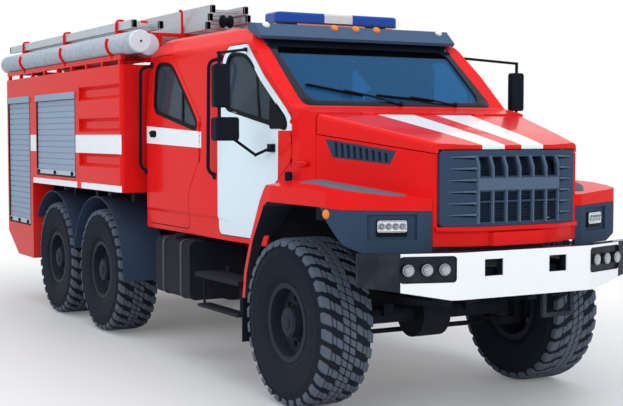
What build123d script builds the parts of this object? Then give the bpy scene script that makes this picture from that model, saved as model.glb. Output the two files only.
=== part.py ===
"""Six-wheel fire tanker lorry with a crew cab, a water tank and roller-shutter lockers.

Millimetres. +X points forward, +Y to the left, +Z up; the origin is on the ground at the
middle of the overall box. Places along the lorry are given from the front axle, and fa()
moves them into the shared frame. Right-hand pieces are drawn and the left ones mirrored.
"""
import os
from math import cos, radians, sin

from build123d import *

os.makedirs("parts", exist_ok=True)

# fits: pieces that bear on each other, the seam round a moving panel, a turning pin
SEAT = 0.3
SEAM = 6
FIT = 0.3

# wheels and stance
FRONT_AXLE = 3000
WHEELBASE = 3850
BOGIE = 1400
TRACK = 2000
TYRE_R = 600
TYRE_WIDTH = 400
TYRE_SIDES = 26
LUG_DEPTH = 22
RIM_SEAT_R = 258
KINGPIN_Y = 740
STEER_ARM = 250
SPINDLE_R = 55

# chassis
FRAME_TOP = 1080
FRAME_DEPTH = 250
FRAME_HALF = 410
FLANGE = 85
WEB = 12

# cab, measured from the front axle
CAB_HALF = 1040
CAB_LENGTH = 3000
CAB_WALL = 60
COWL_HALF = 935
PILLAR_HALF = 975
PILLAR_X = -170
ROOF_Z = 2790
BELT_Z = 1960
EAVE_HALF = 975
EAVE_Z = 2640
SWAGE_Z = 1235
SWAGE_DEPTH = 12
DOOR_SILL = 1125
DOOR_TOP = 2630
DOOR_FRONT = -280
DOOR_REAR = -1420
DOOR_PITCH = -1500
GLASS = 8
GLASS_INSET = 14

# nose and front end
NOSE_LENGTH = 985
NOSE_REAR_HALF = 930
NOSE_FRONT_HALF = 605
NOSE_WALL = 35
NOSE_BOTTOM = 1190
SEAM_REAR_Z = 1928
SEAM_FRONT_Z = 1802
FENDER_HALF = 1220
FENDER_TOP = 1610
ARCH_Z = 1446

# fire body
BODY_HALF = 1250
BODY_FRONT = -3060
TANK_REAR = -4300
BODY_REAR = -6900
BODY_FLOOR = 1390
BODY_TOP = 2570
LOCKER_WALL = 30
LOWER_LOCKER = -5880
SHUTTER_TOP = 2290

SIDE = Plane.XZ
TOP = Plane.XY
ACROSS = Plane.YZ
FAR = 4000
WHEEL_Z = TYRE_R
HALF_TRACK = TRACK / 2
MIDDLE_AXLE = FRONT_AXLE - WHEELBASE
REAR_AXLE = MIDDLE_AXLE - BOGIE
FRAME_BOTTOM = FRAME_TOP - FRAME_DEPTH


def fa(offset):
    """Place along X, given ahead of the front axle."""
    return FRONT_AXLE + offset


def ahead(points):
    """Points (x from the front axle, second value) moved to the shared frame."""
    return [(fa(u), v) for u, v in points]


def block(x, y, z, mode=Mode.ADD):
    """Box between three pairs of limits, put into the open builder."""
    with Locations(((x[0] + x[1]) / 2, (y[0] + y[1]) / 2, (z[0] + z[1]) / 2)):
        Box(abs(x[1] - x[0]), abs(y[1] - y[0]), abs(z[1] - z[0]), mode=mode)


def span(x0, x1):
    """Limits along X, given from the front axle."""
    return fa(x0), fa(x1)


def prism(plane, points, start, end, grow=0, mode=Mode.ADD, rounds=()):
    """Polygon on a plane, extruded between two heights; rounds lists (corner, radius)."""
    with BuildSketch(plane.offset(start), mode=Mode.PRIVATE) as outline:
        with BuildLine():
            Polyline(*points, close=True)
        make_face()
        if grow:
            offset(amount=grow, kind=Kind.INTERSECTION, mode=Mode.REPLACE)
        for corner, radius in rounds:
            fillet(outline.vertices().sort_by_distance(corner)[0], radius)
    extrude(outline.sketch, amount=end - start, mode=mode)


def rod(start, end, radius, mode=Mode.ADD):
    """Round bar between two points, put into the open builder."""
    a = Vector(*start)
    b = Vector(*end)
    with BuildSketch(Plane(a, z_dir=b - a), mode=Mode.PRIVATE) as section:
        Circle(radius)
    extrude(section.sketch, amount=(b - a).length, mode=mode)


def shaft(start, end, radius):
    """Sloping shaft whose end discs just clear the upright faces they meet."""
    a = Vector(*start)
    b = Vector(*end)
    run = (b - a).normalized()
    trim = run * (radius * abs(run.Z / run.X) + SEAT)
    rod(a + trim, b - trim, radius)


# cab outlines: side view, plan and cross-section, with the radius of each softened corner
CAB_SIDE = ahead([(-CAB_LENGTH, FRAME_TOP + SEAT), (-640, FRAME_TOP + SEAT), (-470, 1440), (0, 1440),
                  (0, 2085), (-285, 2130), (-950, 2665), (-1080, 2755), (-1500, ROOF_Z),
                  (-2850, ROOF_Z), (-CAB_LENGTH, 2690)])
CAB_SIDE_ROUNDS = [(CAB_SIDE[5], 90), (CAB_SIDE[6], 260), (CAB_SIDE[7], 120), (CAB_SIDE[9], 110),
                   (CAB_SIDE[10], 70)]
CAB_PLAN = ahead([(-CAB_LENGTH, -CAB_HALF), (DOOR_REAR, -CAB_HALF), (PILLAR_X, -PILLAR_HALF),
                  (0, -COWL_HALF), (0, COWL_HALF), (PILLAR_X, PILLAR_HALF), (DOOR_REAR, CAB_HALF),
                  (-CAB_LENGTH, CAB_HALF)])
CAB_PLAN_ROUNDS = [(CAB_PLAN[0], 55), (CAB_PLAN[-1], 55)]
SILL_HALF = CAB_HALF - SWAGE_DEPTH
CROWN_Z = ROOF_Z + 8
CAB_SECTION = [(-SILL_HALF, 900), (-SILL_HALF, SWAGE_Z), (-CAB_HALF, SWAGE_Z + 30), (-CAB_HALF, BELT_Z),
               (-EAVE_HALF, EAVE_Z), (-850, CROWN_Z), (850, CROWN_Z), (EAVE_HALF, EAVE_Z),
               (CAB_HALF, BELT_Z), (CAB_HALF, SWAGE_Z + 30), (SILL_HALF, SWAGE_Z), (SILL_HALF, 900)]
CAB_SECTION_ROUNDS = [(CAB_SECTION[4], 110), (CAB_SECTION[5], 140), (CAB_SECTION[6], 140),
                      (CAB_SECTION[7], 110)]
SCREEN = [(-800, 2165), (-815, 2630), (815, 2630), (800, 2165)]
SCREEN_ROUNDS = [(corner, 70) for corner in SCREEN]


def skin_half(x):
    """Half-width of the cab at the belt, at a place from the front axle."""
    if x < DOOR_REAR:
        return CAB_HALF
    share = (x - DOOR_REAR) / (PILLAR_X - DOOR_REAR)
    return CAB_HALF + share * (PILLAR_HALF - CAB_HALF)


def cab_volume(inset, soft=True):
    """The cab as a full block whose faces lie an inset inside the skin."""
    wide = CAB_HALF + SEAM
    with BuildPart() as volume:
        prism(TOP, CAB_PLAN, 0, FAR, -inset, Mode.ADD, CAB_PLAN_ROUNDS if soft else ())
        prism(ACROSS, CAB_SECTION, fa(-CAB_LENGTH - SEAM), fa(SEAM), -inset, Mode.INTERSECT,
              CAB_SECTION_ROUNDS if soft else ())
        prism(SIDE, CAB_SIDE, -wide, wide, -inset, Mode.INTERSECT, CAB_SIDE_ROUNDS if soft else ())
    return volume.part


def door_outline(shift, cut):
    """Door edge in side view; cut is how far the lower front edge lies behind the upper one."""
    points = [(DOOR_REAR, DOOR_SILL), (DOOR_REAR, 2540), (-1330, DOOR_TOP), (-1000, DOOR_TOP),
              (-345, 2112), (DOOR_FRONT, 2050), (DOOR_FRONT, 1730),
              (DOOR_FRONT - cut, 1440), (DOOR_FRONT - cut, DOOR_SILL)]
    outline = ahead([(u + shift, v) for u, v in points])
    radii = (60, 70, 70, 60, 90, 50, 90, 140, 60)
    return outline, list(zip(outline, radii))


def window_outline(shift):
    """Opening for the glass in a door."""
    points = [(-345, 1965), (-345, 2035), (-990, 2548), (-1290, 2568), (-1350, 2500), (-1310, 2135)]
    outline = ahead([(u + shift, v) for u, v in points])
    radii = (35, 40, 90, 45, 45, 60)
    return outline, list(zip(outline, radii))


# door rows: shift from the front door, set-back of the lower front edge
DOORS = {"front": (0, 400), "rear": (DOOR_PITCH, 230)}
# hinges: foot of each door barrel, and the lengths of the barrel and the knuckles beside it
HINGE_Z = (1775, 1945)
BARREL = 60
KNUCKLE = 24
HINGE_R = 12
HINGE_EDGE = (1690, 2090)
SWING_GAP = 5.5
# the door is a thin outer leaf with a box behind it that starts behind the hinge edge
LEAF = 8
BOX_SETBACK = 70
SWEEP_R = LEAF + SWING_GAP
INSIDE = EAVE_HALF - CAB_WALL - 10


def hinge_line(shift, side):
    """Foot point of a door's hinge axis, on the cab skin."""
    x = DOOR_FRONT + SEAM / 2 + shift
    return fa(x), side * skin_half(x)


def hinge_barrels(shift, side):
    """Round barrels on the door, one for each hinge."""
    x, y = hinge_line(shift, side)
    for z in HINGE_Z:
        rod((x, y, z), (x, y, z + BARREL), HINGE_R)


def hinge_knuckles(shift, side, spare, mode):
    """Barrels on the pillar above and below each door barrel, or the room for them."""
    x, y = hinge_line(shift, side)
    for z in HINGE_Z:
        for low in (z - FIT - KNUCKLE, z + BARREL + FIT):
            reach = spare if spare else 0
            rod((x, y, low - reach), (x, y, low + KNUCKLE + reach), HINGE_R + spare, mode)
            if not spare:
                block((x, x + 2 * HINGE_R), (y, y - side * HINGE_R), (low, low + KNUCKLE), mode)


cab_skin = cab_volume(0)
cab_room = cab_volume(CAB_WALL, soft=False)
leaf_inner = cab_volume(LEAF)
glass_outer = cab_volume(GLASS_INSET)
glass_inner = cab_volume(GLASS_INSET + GLASS)
HOOD_AXIS = (fa(8), 0, 2072)
HOOD_BARRELS = (-500, 500)
BARREL_HALF = 50

# Cab shell: hollow crew cab with four door openings and a windscreen opening.
with BuildPart() as cab_shell:
    add(cab_skin)
    add(cab_room, mode=Mode.SUBTRACT)
    for shift, cut in DOORS.values():
        outline, rounds = door_outline(shift, cut)
        for side in (-1, 1):
            prism(SIDE, outline, *sorted((side * INSIDE, side * FAR)), SEAM, Mode.SUBTRACT, rounds)
            x, y = hinge_line(shift, side)
            rod((x, y, HINGE_EDGE[0]), (x, y, HINGE_EDGE[1]), SWEEP_R, Mode.SUBTRACT)
            hinge_knuckles(shift, side, 0, Mode.ADD)
    prism(ACROSS, SCREEN, fa(-1050), fa(0), 0, Mode.SUBTRACT, SCREEN_ROUNDS)
    for y in HOOD_BARRELS:
        rod((HOOD_AXIS[0], y - BARREL_HALF - 10, HOOD_AXIS[2]),
            (HOOD_AXIS[0], y + BARREL_HALF + 10, HOOD_AXIS[2]), HINGE_R + FIT, Mode.SUBTRACT)

# Windscreen: one thin pane set in the opening, a little below the skin.
with BuildPart() as windscreen:
    add(glass_outer)
    add(glass_inner, mode=Mode.SUBTRACT)
    prism(ACROSS, SCREEN, fa(-1050), fa(0), -SEAT, Mode.INTERSECT, SCREEN_ROUNDS)

# Doors: each is cut from the cab skin, so the closed door lies flush with it. Behind the hinge
# edge only the leaf is left, so that the box clears the pillar as the door swings.
doors = {}
for row, (shift, cut) in DOORS.items():
    outline, rounds = door_outline(shift, cut)
    box_outline, box_rounds = door_outline(shift - BOX_SETBACK, cut)
    window, window_rounds = window_outline(shift)
    with BuildPart() as edge_room:
        prism(SIDE, outline, INSIDE, FAR, SEAM)
        prism(SIDE, box_outline, INSIDE - SEAM, FAR, 0, Mode.SUBTRACT, box_rounds)
        add(leaf_inner, mode=Mode.INTERSECT)
    with BuildPart() as door:
        add(cab_skin)
        add(cab_room, mode=Mode.SUBTRACT)
        prism(SIDE, outline, INSIDE, FAR, 0, Mode.INTERSECT, rounds)
        add(edge_room.part, mode=Mode.SUBTRACT)
        prism(SIDE, window, INSIDE, FAR, 0, Mode.SUBTRACT, window_rounds)
        hinge_knuckles(shift, -1, SWING_GAP, Mode.SUBTRACT)
        hinge_barrels(shift, -1)
    with BuildPart() as pane:
        add(glass_outer)
        add(glass_inner, mode=Mode.SUBTRACT)
        prism(SIDE, window, INSIDE, FAR, -SEAT, Mode.INTERSECT, window_rounds)
    with BuildPart() as door_twin:
        mirror(door.part, about=Plane.XZ)
    with BuildPart() as pane_twin:
        mirror(pane.part, about=Plane.XZ)
    doors[f"door_{row}_right"] = door
    doors[f"door_{row}_left"] = door_twin
    doors[f"glass_{row}_right"] = pane
    doors[f"glass_{row}_left"] = pane_twin

# Mirrors: tall glass and a wide-angle one below it on an upright tube, held from the window
# frame by an upper arm and from the door panel by a bent lower arm.
MIRROR_X = -640
MIRROR_OUT = 1385
MIRROR_EDGE = 55
TUBE = 13
ARM_FOOT = Vector(fa(-1000), -EAVE_HALF - 16, 2585)
ARM_BEND = Vector(fa(-607), -1105, 1774)
BRACKET = Vector(fa(-531), -skin_half(-531) - 22, 1826)
# depth behind and ahead of the tube, width, lower and upper edge
MIRROR_HEADS = (((28, 40), 130, 2125, 2445), ((38, 66), 190, 1880, 2055))
with BuildPart() as mirror_right:
    for depth, width, low, high in MIRROR_HEADS:
        block(span(MIRROR_X - depth[0], MIRROR_X + depth[1]),
              (-MIRROR_OUT - MIRROR_EDGE, -MIRROR_OUT - MIRROR_EDGE + width), (low, high))
    fillet(mirror_right.edges().filter_by(Axis.X), 24)
    chamfer(mirror_right.faces().filter_by(Axis.X).edges(), 9)
    tube_foot = Vector(fa(MIRROR_X), -MIRROR_OUT, 1930)
    tube_head = Vector(fa(MIRROR_X), -MIRROR_OUT, 2535)
    rod(tube_foot, tube_head, TUBE)
    rod(tube_head - Vector(0, 8, 10), ARM_FOOT, TUBE - 2)
    rod(tube_foot + Vector(0, 60, 0), ARM_BEND, TUBE - 2)
    with Locations(ARM_BEND, tube_head - Vector(0, 0, 10)):
        Sphere(TUBE)
    rod(ARM_BEND, BRACKET, TUBE - 2)
    block((ARM_FOOT.X - 14, ARM_FOOT.X + 14), (ARM_FOOT.Y - 12, -EAVE_HALF - 7), (2570, 2600))
    block((BRACKET.X - 32, BRACKET.X + 32), (BRACKET.Y - 14, -skin_half(-531) - 2.2), (1796, 1856))
with BuildPart() as mirror_left:
    mirror(mirror_right.part, about=Plane.XZ)

# Seats: two front places and a rear bench, each a cushion, a raked back and head rests.
CAB_FLOOR = FRAME_TOP + SEAT + CAB_WALL
CUSHION_Z = 1560
BACK_Z = 2120
# place along X, middle across, width, number of head rests
SEAT_ROWS = ((-1350, 480, 520, 1), (-1350, -380, 900, 2), (-2750, 0, 1800, 4))
with BuildPart() as seats:
    for x, y, width, heads in SEAT_ROWS:
        block(span(x, x + 520), (y - width / 2, y + width / 2), (CUSHION_Z - 140, CUSHION_Z))
        block(span(x + 40, x + 440), (y - width / 2 + 40, y + width / 2 - 40),
              (CAB_FLOOR + SEAT, CUSHION_Z - 130))
        prism(SIDE, ahead([(x, CUSHION_Z - 60), (x + 130, CUSHION_Z - 60), (x + 30, BACK_Z),
                           (x - 80, BACK_Z)]), -y - width / 2, -y + width / 2)
        for i in range(heads):
            head = y + (i - (heads - 1) / 2) * width / heads
            block(span(x - 80, x + 10), (head - 130, head + 130), (BACK_Z - 10, BACK_Z + 190))

# Dashboard and steering: full-width fascia with the column, and the wheel on its end.
COLUMN_TILT = 35
COLUMN_R = 22
WHEEL_HUB = Vector(fa(-760), 480, 1985)
column_dir = Vector(-cos(radians(COLUMN_TILT)), 0, sin(radians(COLUMN_TILT)))
with BuildPart() as dashboard:
    prism(SIDE, ahead([(-CAB_WALL - SEAT, 1700), (-CAB_WALL - SEAT, 2030), (-330, 2050), (-520, 1980),
                       (-560, 1850), (-420, 1700)]), -840, 840)
    rod(WHEEL_HUB - column_dir * 330, WHEEL_HUB - column_dir * (20 + FIT), COLUMN_R)
wheel_plane = Plane(WHEEL_HUB, x_dir=(0, 1, 0), z_dir=column_dir)
WHEEL_RIM = (215, 15)
with BuildPart(wheel_plane) as steering_wheel:
    with BuildSketch(Plane(WHEEL_HUB, x_dir=(0, 1, 0), z_dir=wheel_plane.y_dir)):
        with Locations((WHEEL_RIM[0], 0)):
            RegularPolygon(WHEEL_RIM[1], 8)
    revolve(axis=Axis(WHEEL_HUB, column_dir))
    Cylinder(55, 40)
    with PolarLocations(0, 3, 90):
        with Locations((130, 0, 0)):
            Box(168, 34, 14)

# Roof front: dark sun visor over the windscreen and the blue light bar behind it.
VISOR_HALF = 915
BAR_HALF = 585
BAR_Z = (2832, 2925)
with BuildPart() as sun_visor:
    prism(SIDE, ahead([(-1010, 2700), (-1110, 2750), (-1110, 2808), (-1000, 2796),
                       (-880, 2690), (-900, 2668)]), -VISOR_HALF, VISOR_HALF)
    add(cab_skin, mode=Mode.SUBTRACT)
with BuildPart() as light_bar:
    block(span(-1500, -1240), (-BAR_HALF, BAR_HALF), BAR_Z)
    fillet(light_bar.edges().filter_by(Axis.Z), 55)
    fillet(light_bar.faces().sort_by(Axis.Z)[-1].edges(), 22)
    for y in (-430, 430):
        block(span(-1440, -1300), (y - 60, y + 60), (2775, BAR_Z[0]))
    add(cab_skin, mode=Mode.SUBTRACT)

# Nose: U-shaped engine surround with grille and vent openings, closed on top by the hood.
NOSE_PLAN = ahead([(0, -NOSE_REAR_HALF), (NOSE_LENGTH, -NOSE_FRONT_HALF), (NOSE_LENGTH, NOSE_FRONT_HALF),
                   (0, NOSE_REAR_HALF)])
seam_run = Vector(NOSE_LENGTH, 0, SEAM_FRONT_Z - SEAM_REAR_Z).normalized()
seam_plane = Plane(origin=(fa(0), 0, SEAM_REAR_Z), x_dir=seam_run, z_dir=(-seam_run.Z, 0, seam_run.X))
GRILLE_HALF = 570
GRILLE_Z = (1320, 1822)
GRILLE_SKIN = 25
GRILLE_EDGE = [(-GRILLE_HALF, GRILLE_Z[0]), (-GRILLE_HALF, GRILLE_Z[1]), (GRILLE_HALF, GRILLE_Z[1]),
               (GRILLE_HALF, GRILLE_Z[0])]
# the front bows forward between the corners, and the grille leans back above its middle band
BOW = 110
BOW_HALF = 335
BOW_FRONT = NOSE_LENGTH + 20 + BOW
BOW_R = 350
LEAN_Z = 1600
LEAN_BACK = 0.45


def bowed(half, front, back):
    """Plan of a panel across the nose: square back, face bowed forward by the common bow."""
    return ahead([(back, -half), (front - BOW, -half), (front, -BOW_HALF), (front, BOW_HALF), (front - BOW, half),
                  (back, half)])


def bow_rounds(plan):
    """The two soft corners of a bowed plan."""
    return [(plan[2], BOW_R), (plan[3], BOW_R)]


VENT = ahead([(85, 1895), (150, 1765), (640, 1725), (690, 1815)])


def nose_room(wall):
    """Engine bay inside the nose, open to the rear."""
    with BuildPart() as room:
        prism(TOP, NOSE_PLAN, 0, FAR, -wall)
        block(span(-100, wall + 100), (-NOSE_REAR_HALF + 45, NOSE_REAR_HALF - 45), (0, FAR))
    return room.part


engine_bay = nose_room(NOSE_WALL)
LEDGE_Z = 1292
# sill under the grille: lower and upper edge, how far it stands out past the grille, half-width
SILL_STEPS = ((NOSE_BOTTOM, LEDGE_Z, -28, 592), (LEDGE_Z, GRILLE_Z[0], 8, 600))
SILL_BULGE = ahead([(NOSE_LENGTH, -275), (BOW_FRONT + 6, -215), (BOW_FRONT + 6, 215), (NOSE_LENGTH, 275)])
with BuildPart() as nose_panel:
    prism(TOP, NOSE_PLAN, NOSE_BOTTOM, 2000)
    add(engine_bay, mode=Mode.SUBTRACT)
    split(bisect_by=seam_plane.offset(-SEAM / 2), keep=Keep.BOTTOM)
    block(span(-10, SEAT), (-NOSE_REAR_HALF, NOSE_REAR_HALF), (0, FAR), Mode.SUBTRACT)
    for low, high, step, half in SILL_STEPS:
        plan = bowed(half, BOW_FRONT + step, NOSE_LENGTH - NOSE_WALL)
        prism(TOP, plan, low, high, 0, Mode.ADD, bow_rounds(plan))
    prism(TOP, SILL_BULGE, NOSE_BOTTOM, LEDGE_Z - 12)
    block(span(900, 1200), (-GRILLE_HALF, GRILLE_HALF), (GRILLE_Z[0], GRILLE_Z[1] + SEAM), Mode.SUBTRACT)
    block(span(-10, 700), (-NOSE_REAR_HALF, NOSE_REAR_HALF), (0, NOSE_BOTTOM + 130), Mode.SUBTRACT)
    prism(SIDE, VENT, -FAR, FAR, 0, Mode.SUBTRACT)

# Side vents: dark slatted panels that fill the openings in the nose sides.
SLATS = 9
with BuildPart() as side_vents:
    prism(TOP, NOSE_PLAN, NOSE_BOTTOM, 2000)
    add(nose_room(NOSE_WALL - 10), mode=Mode.SUBTRACT)
    prism(SIDE, VENT, -FAR, FAR, -SEAT, Mode.INTERSECT)
    for i in range(SLATS):
        x = 165 + i * 53
        prism(SIDE, ahead([(x, 1875 - i * 9), (x + 26, 1870 - i * 9), (x + 32, 1770 - i * 4),
                           (x + 6, 1772 - i * 4)]), -FAR, FAR, 0, Mode.SUBTRACT)

# Hood: one-piece lid hinged at the cowl, with soft shoulders and a rolled front edge.
LIP = NOSE_LENGTH + 8
LIP_BOW = 55
HOOD_SIDE = ahead([(10, 1700), (10, 2072), (720, 1930), (940, 1882), (LIP + LIP_BOW, 1856), (LIP + LIP_BOW, 1700)])
HOOD_ROOM = ahead([(-100, 1700), (-100, 2055), (30, 2033), (700, 1900), (905, 1852),
                   (NOSE_LENGTH - 25, 1840), (NOSE_LENGTH - 25, 1700)])
with BuildPart() as hood_space:
    prism(SIDE, HOOD_ROOM, -FAR, FAR)
    add(engine_bay, mode=Mode.INTERSECT)
with BuildPart() as hood:
    prism(SIDE, HOOD_SIDE, -FAR, FAR)
    prism(TOP, ahead([(0, -NOSE_REAR_HALF), (LIP, -NOSE_FRONT_HALF + 3), (LIP + LIP_BOW, -BOW_HALF),
                      (LIP + LIP_BOW, BOW_HALF), (LIP, NOSE_FRONT_HALF - 3), (0, NOSE_REAR_HALF)]),
          0, FAR, 0, Mode.INTERSECT)
    shoulders = [edge for edge in hood.edges() if edge.center().Z > 1850 and abs(edge.center().Y) > BOW_HALF
                 and abs(edge.tangent_at(0.5).X) > 0.6]
    fillet(shoulders, 38)
    add(hood_space.part, mode=Mode.SUBTRACT)
    split(bisect_by=seam_plane.offset(SEAM / 2), keep=Keep.TOP)
    block(span(NOSE_LENGTH - NOSE_WALL, BOW_FRONT), (-GRILLE_HALF - SEAM, GRILLE_HALF + SEAM),
          (GRILLE_Z[0], GRILLE_Z[1] + SEAM), Mode.SUBTRACT)
    for y in HOOD_BARRELS:
        rod((HOOD_AXIS[0], y - BARREL_HALF, HOOD_AXIS[2]), (HOOD_AXIS[0], y + BARREL_HALF, HOOD_AXIS[2]),
            HINGE_R)

# Grille: bowed plastic skin, openings in three rows in the middle, wedge louvres at each side.
# rows of the middle block: lower and upper edge
GRILLE_ROWS = ((1351, 1477), (1491, 1547), (1652, 1778))
COLUMNS = 6
PITCH = 112
OPENING = 90
LOUVRES = 6
LOUVRE_PITCH = 76
# louvre slot: distance from the middle, then lower and upper edge above the slot's foot
LOUVRE_INNER = (352, 0, 26)
LOUVRE_OUTER = (492, 8, 15)


def grille_volume(inset):
    """The grille as a full block whose faces lie an inset inside its skin."""
    plan = bowed(GRILLE_HALF, BOW_FRONT, 955)
    side = ahead([(900, 1200), (BOW_FRONT + 50, 1200), (BOW_FRONT + 50, LEAN_Z),
                  (BOW_FRONT + 50 - 300 * LEAN_BACK, LEAN_Z + 300), (900, LEAN_Z + 300)])
    with BuildPart() as volume:
        prism(TOP, plan, 0, FAR, -inset, Mode.ADD, bow_rounds(plan))
        prism(SIDE, side, -FAR, FAR, -inset, Mode.INTERSECT)
        prism(ACROSS, GRILLE_EDGE, fa(900), fa(1300), -inset, Mode.INTERSECT, [(corner, 30) for corner in GRILLE_EDGE])
    return volume.part


with BuildPart() as grille:
    add(grille_volume(SEAT))
    add(grille_volume(GRILLE_SKIN), mode=Mode.SUBTRACT)
    block(span(900, 955 + 2 * GRILLE_SKIN), (-GRILLE_HALF + GRILLE_SKIN, GRILLE_HALF - GRILLE_SKIN),
          (GRILLE_Z[0] + GRILLE_SKIN, GRILLE_Z[1] - GRILLE_SKIN), Mode.SUBTRACT)
    for low, high in GRILLE_ROWS:
        for i in range(COLUMNS):
            y = (i - (COLUMNS - 1) / 2) * PITCH
            block(span(960, 1200), (y - OPENING / 2, y + OPENING / 2), (low, high), Mode.SUBTRACT)
    for side in (-1, 1):
        for i in range(LOUVRES):
            z = GRILLE_ROWS[0][0] + 30 + i * LOUVRE_PITCH
            slot = [(side * y, z + rise) for y, *edges in (LOUVRE_INNER, LOUVRE_OUTER[:1] + LOUVRE_OUTER[:0:-1])
                    for rise in edges]
            prism(ACROSS, slot, fa(900), fa(1300), 0, Mode.SUBTRACT)
with BuildPart() as radiator:
    block(span(830, 900), (-430, 430), (FRAME_TOP + SEAT, 1760))

# Fenders: wide wings with a flat-topped arch and a thin rear leg, one each side.
FENDER_SIDE = ahead([(-690, 700), (-652, 900), (-535, 1150), (-350, 1440), (-270, 1530), (-170, FENDER_TOP),
                     (100, FENDER_TOP), (985, 1506), (985, 1424), (540, ARCH_Z), (-200, ARCH_Z),
                     (-270, 1410), (-480, 1145), (-602, 890), (-640, 700)])
FENDER_ROUNDS = [(FENDER_SIDE[4], 90), (FENDER_SIDE[10], 60), (FENDER_SIDE[3], 120), (FENDER_SIDE[2], 200),
                 (FENDER_SIDE[12], 200)]
FENDER_PLAN = ahead([(-700, -1175), (-150, -FENDER_HALF), (640, -FENDER_HALF), (775, -1180), (980, -670),
                     (980, -607 - SEAT), (20, -NOSE_REAR_HALF + 6), (1, -COWL_HALF - 1),
                     (PILLAR_X, -PILLAR_HALF - 1), (-700, -1004)])
FENDER_PLAN_ROUNDS = [(FENDER_PLAN[2], 160), (FENDER_PLAN[3], 90)]
# below this height the rear leg is a narrow strip, clear of the steered tyre
LEG_FRONT = -440
LEG_INNER = 1112
LEG_TOP = 1180
# the top falls away towards the wing's outer edge
CROWN_FALL = 9
crown_plane = Plane(origin=(fa(0), -940, FENDER_TOP), x_dir=(1, 0, 0),
                    z_dir=(0, -sin(radians(CROWN_FALL)), cos(radians(CROWN_FALL))))
with BuildPart() as fenders:
    prism(SIDE, FENDER_SIDE, 0, FAR, 0, Mode.ADD, FENDER_ROUNDS)
    prism(TOP, FENDER_PLAN, 0, FAR, 0, Mode.INTERSECT, FENDER_PLAN_ROUNDS)
    split(bisect_by=crown_plane, keep=Keep.BOTTOM)
    block(span(-700, LEG_FRONT), (-LEG_INNER, 0), (0, LEG_TOP), Mode.SUBTRACT)
    mirror(about=Plane.XZ)

# Aprons: dark corner panels under the fenders, each with a headlamp in a shallow recess.
APRON_BOTTOM = 1150
APRON_PLAN = ahead([(500, -FENDER_HALF), (640, -FENDER_HALF), (775, -1180), (980, -670), (980, -608),
                    (940, -622), (940, -690), (745, -1145), (630, -1180), (500, -1180)])
APRON_ROUNDS = [(APRON_PLAN[1], 160), (APRON_PLAN[2], 90)]
APRON_ARCH = ahead([(300, 900), (300, 1700), (340, 1700), (945, 1020), (945, 900)])
UNDER_FENDER = ahead([(400, ARCH_Z - SEAT), (540, ARCH_Z - SEAT), (985, 1424 - SEAT), (1000, 1423 - SEAT),
                      (1000, 1600), (400, 1600)])
LAMP_AT = Vector(fa(893), -867, 1316)
LAMP_SIZE = (200, 105)
front_run = Vector(980 - 775, 1180 - 670, 0).normalized()
lamp_plane = Plane(LAMP_AT, x_dir=front_run, z_dir=(front_run.Y, -front_run.X, 0))
with BuildPart(lamp_plane) as lamp_pocket:
    Box(LAMP_SIZE[0] + 2 * SEAT, LAMP_SIZE[1] + 2 * SEAT, 200)
    with Locations((0, 6, 3)):
        Box(330, 165, 28)
with BuildPart() as aprons:
    prism(TOP, APRON_PLAN, APRON_BOTTOM, ARCH_Z, 0, Mode.ADD, APRON_ROUNDS)
    prism(SIDE, APRON_ARCH, 0, FAR, 0, Mode.SUBTRACT)
    prism(SIDE, UNDER_FENDER, 0, FAR, 0, Mode.SUBTRACT)
    add(lamp_pocket.part, mode=Mode.SUBTRACT)
    mirror(about=Plane.XZ)

# Bumper: bent steel beam with swept ends, two tow openings and three lamps in each end.
BUMPER_Z = (860, 1170)
BUMPER_X = 1200
BUMPER_PLAN = ahead([(BUMPER_X, 1), (BUMPER_X, -545), (1075, -950), (985, -1190), (925, -1165), (1010, -920),
                     (1130, -515), (1130, 1)])
BUMPER_ROUNDS = [(BUMPER_PLAN[1], 120), (BUMPER_PLAN[2], 120), (BUMPER_PLAN[3], 20), (BUMPER_PLAN[4], 20)]
LAMP_ROW = ahead([(1158, -640), (1131, -757), (1098, -880)])
LAMP_R = 37
LAMP_Z = 1062
bumper_run = (Vector(*BUMPER_PLAN[1]) - Vector(*BUMPER_PLAN[2])).normalized()
bumper_out = Vector(bumper_run.Y, -bumper_run.X, 0)
# lamp pod sunk into the swept face: length, height, depth and corner radius
POD = (385, 172, 16, 26)
POD_END = Vector(*BUMPER_PLAN[1]) - bumper_run * 20
pod_plane = Plane(POD_END - bumper_run * POD[0] / 2 + Vector(0, 0, LAMP_Z), x_dir=bumper_run, z_dir=bumper_out)
TOW_Y = 270
STEP_Y = (190, 430)


def bumper_lamp(place, radius, mode):
    """Round lamp body through the swept bumper face."""
    middle = Vector(place[0], place[1], LAMP_Z)
    rod(middle - bumper_out * 60, middle + bumper_out * 4, radius, mode)


with BuildPart() as bumper:
    prism(TOP, BUMPER_PLAN, *BUMPER_Z, 0, Mode.ADD, BUMPER_ROUNDS)
    prism(ACROSS, [(-540, 850), (-950, 922), (-1200, 960), (-1200, 850)], fa(900), fa(1300), 0, Mode.SUBTRACT)
    block(span(1100, 1250), (-TOW_Y - 75, -TOW_Y + 75), (1005, 1115), Mode.SUBTRACT)
    with BuildSketch(pod_plane.offset(-POD[2])):
        RectangleRounded(POD[0], POD[1], POD[3])
    extrude(amount=3 * POD[2], mode=Mode.SUBTRACT)
    for place in LAMP_ROW:
        bumper_lamp(place, LAMP_R + SEAT, Mode.SUBTRACT)
    mirror(about=Plane.XZ)
    for y in STEP_Y:
        block(span(1135, 1165), (y - 15, y + 15), (700, BUMPER_Z[0] + 10))
    block(span(1135, 1165), (STEP_Y[0] - 15, STEP_Y[1] + 15), (690, 720))
with BuildPart(lamp_plane) as headlamp:
    with Locations((0, 0, -24)):
        Box(LAMP_SIZE[0], LAMP_SIZE[1], 50)
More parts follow.
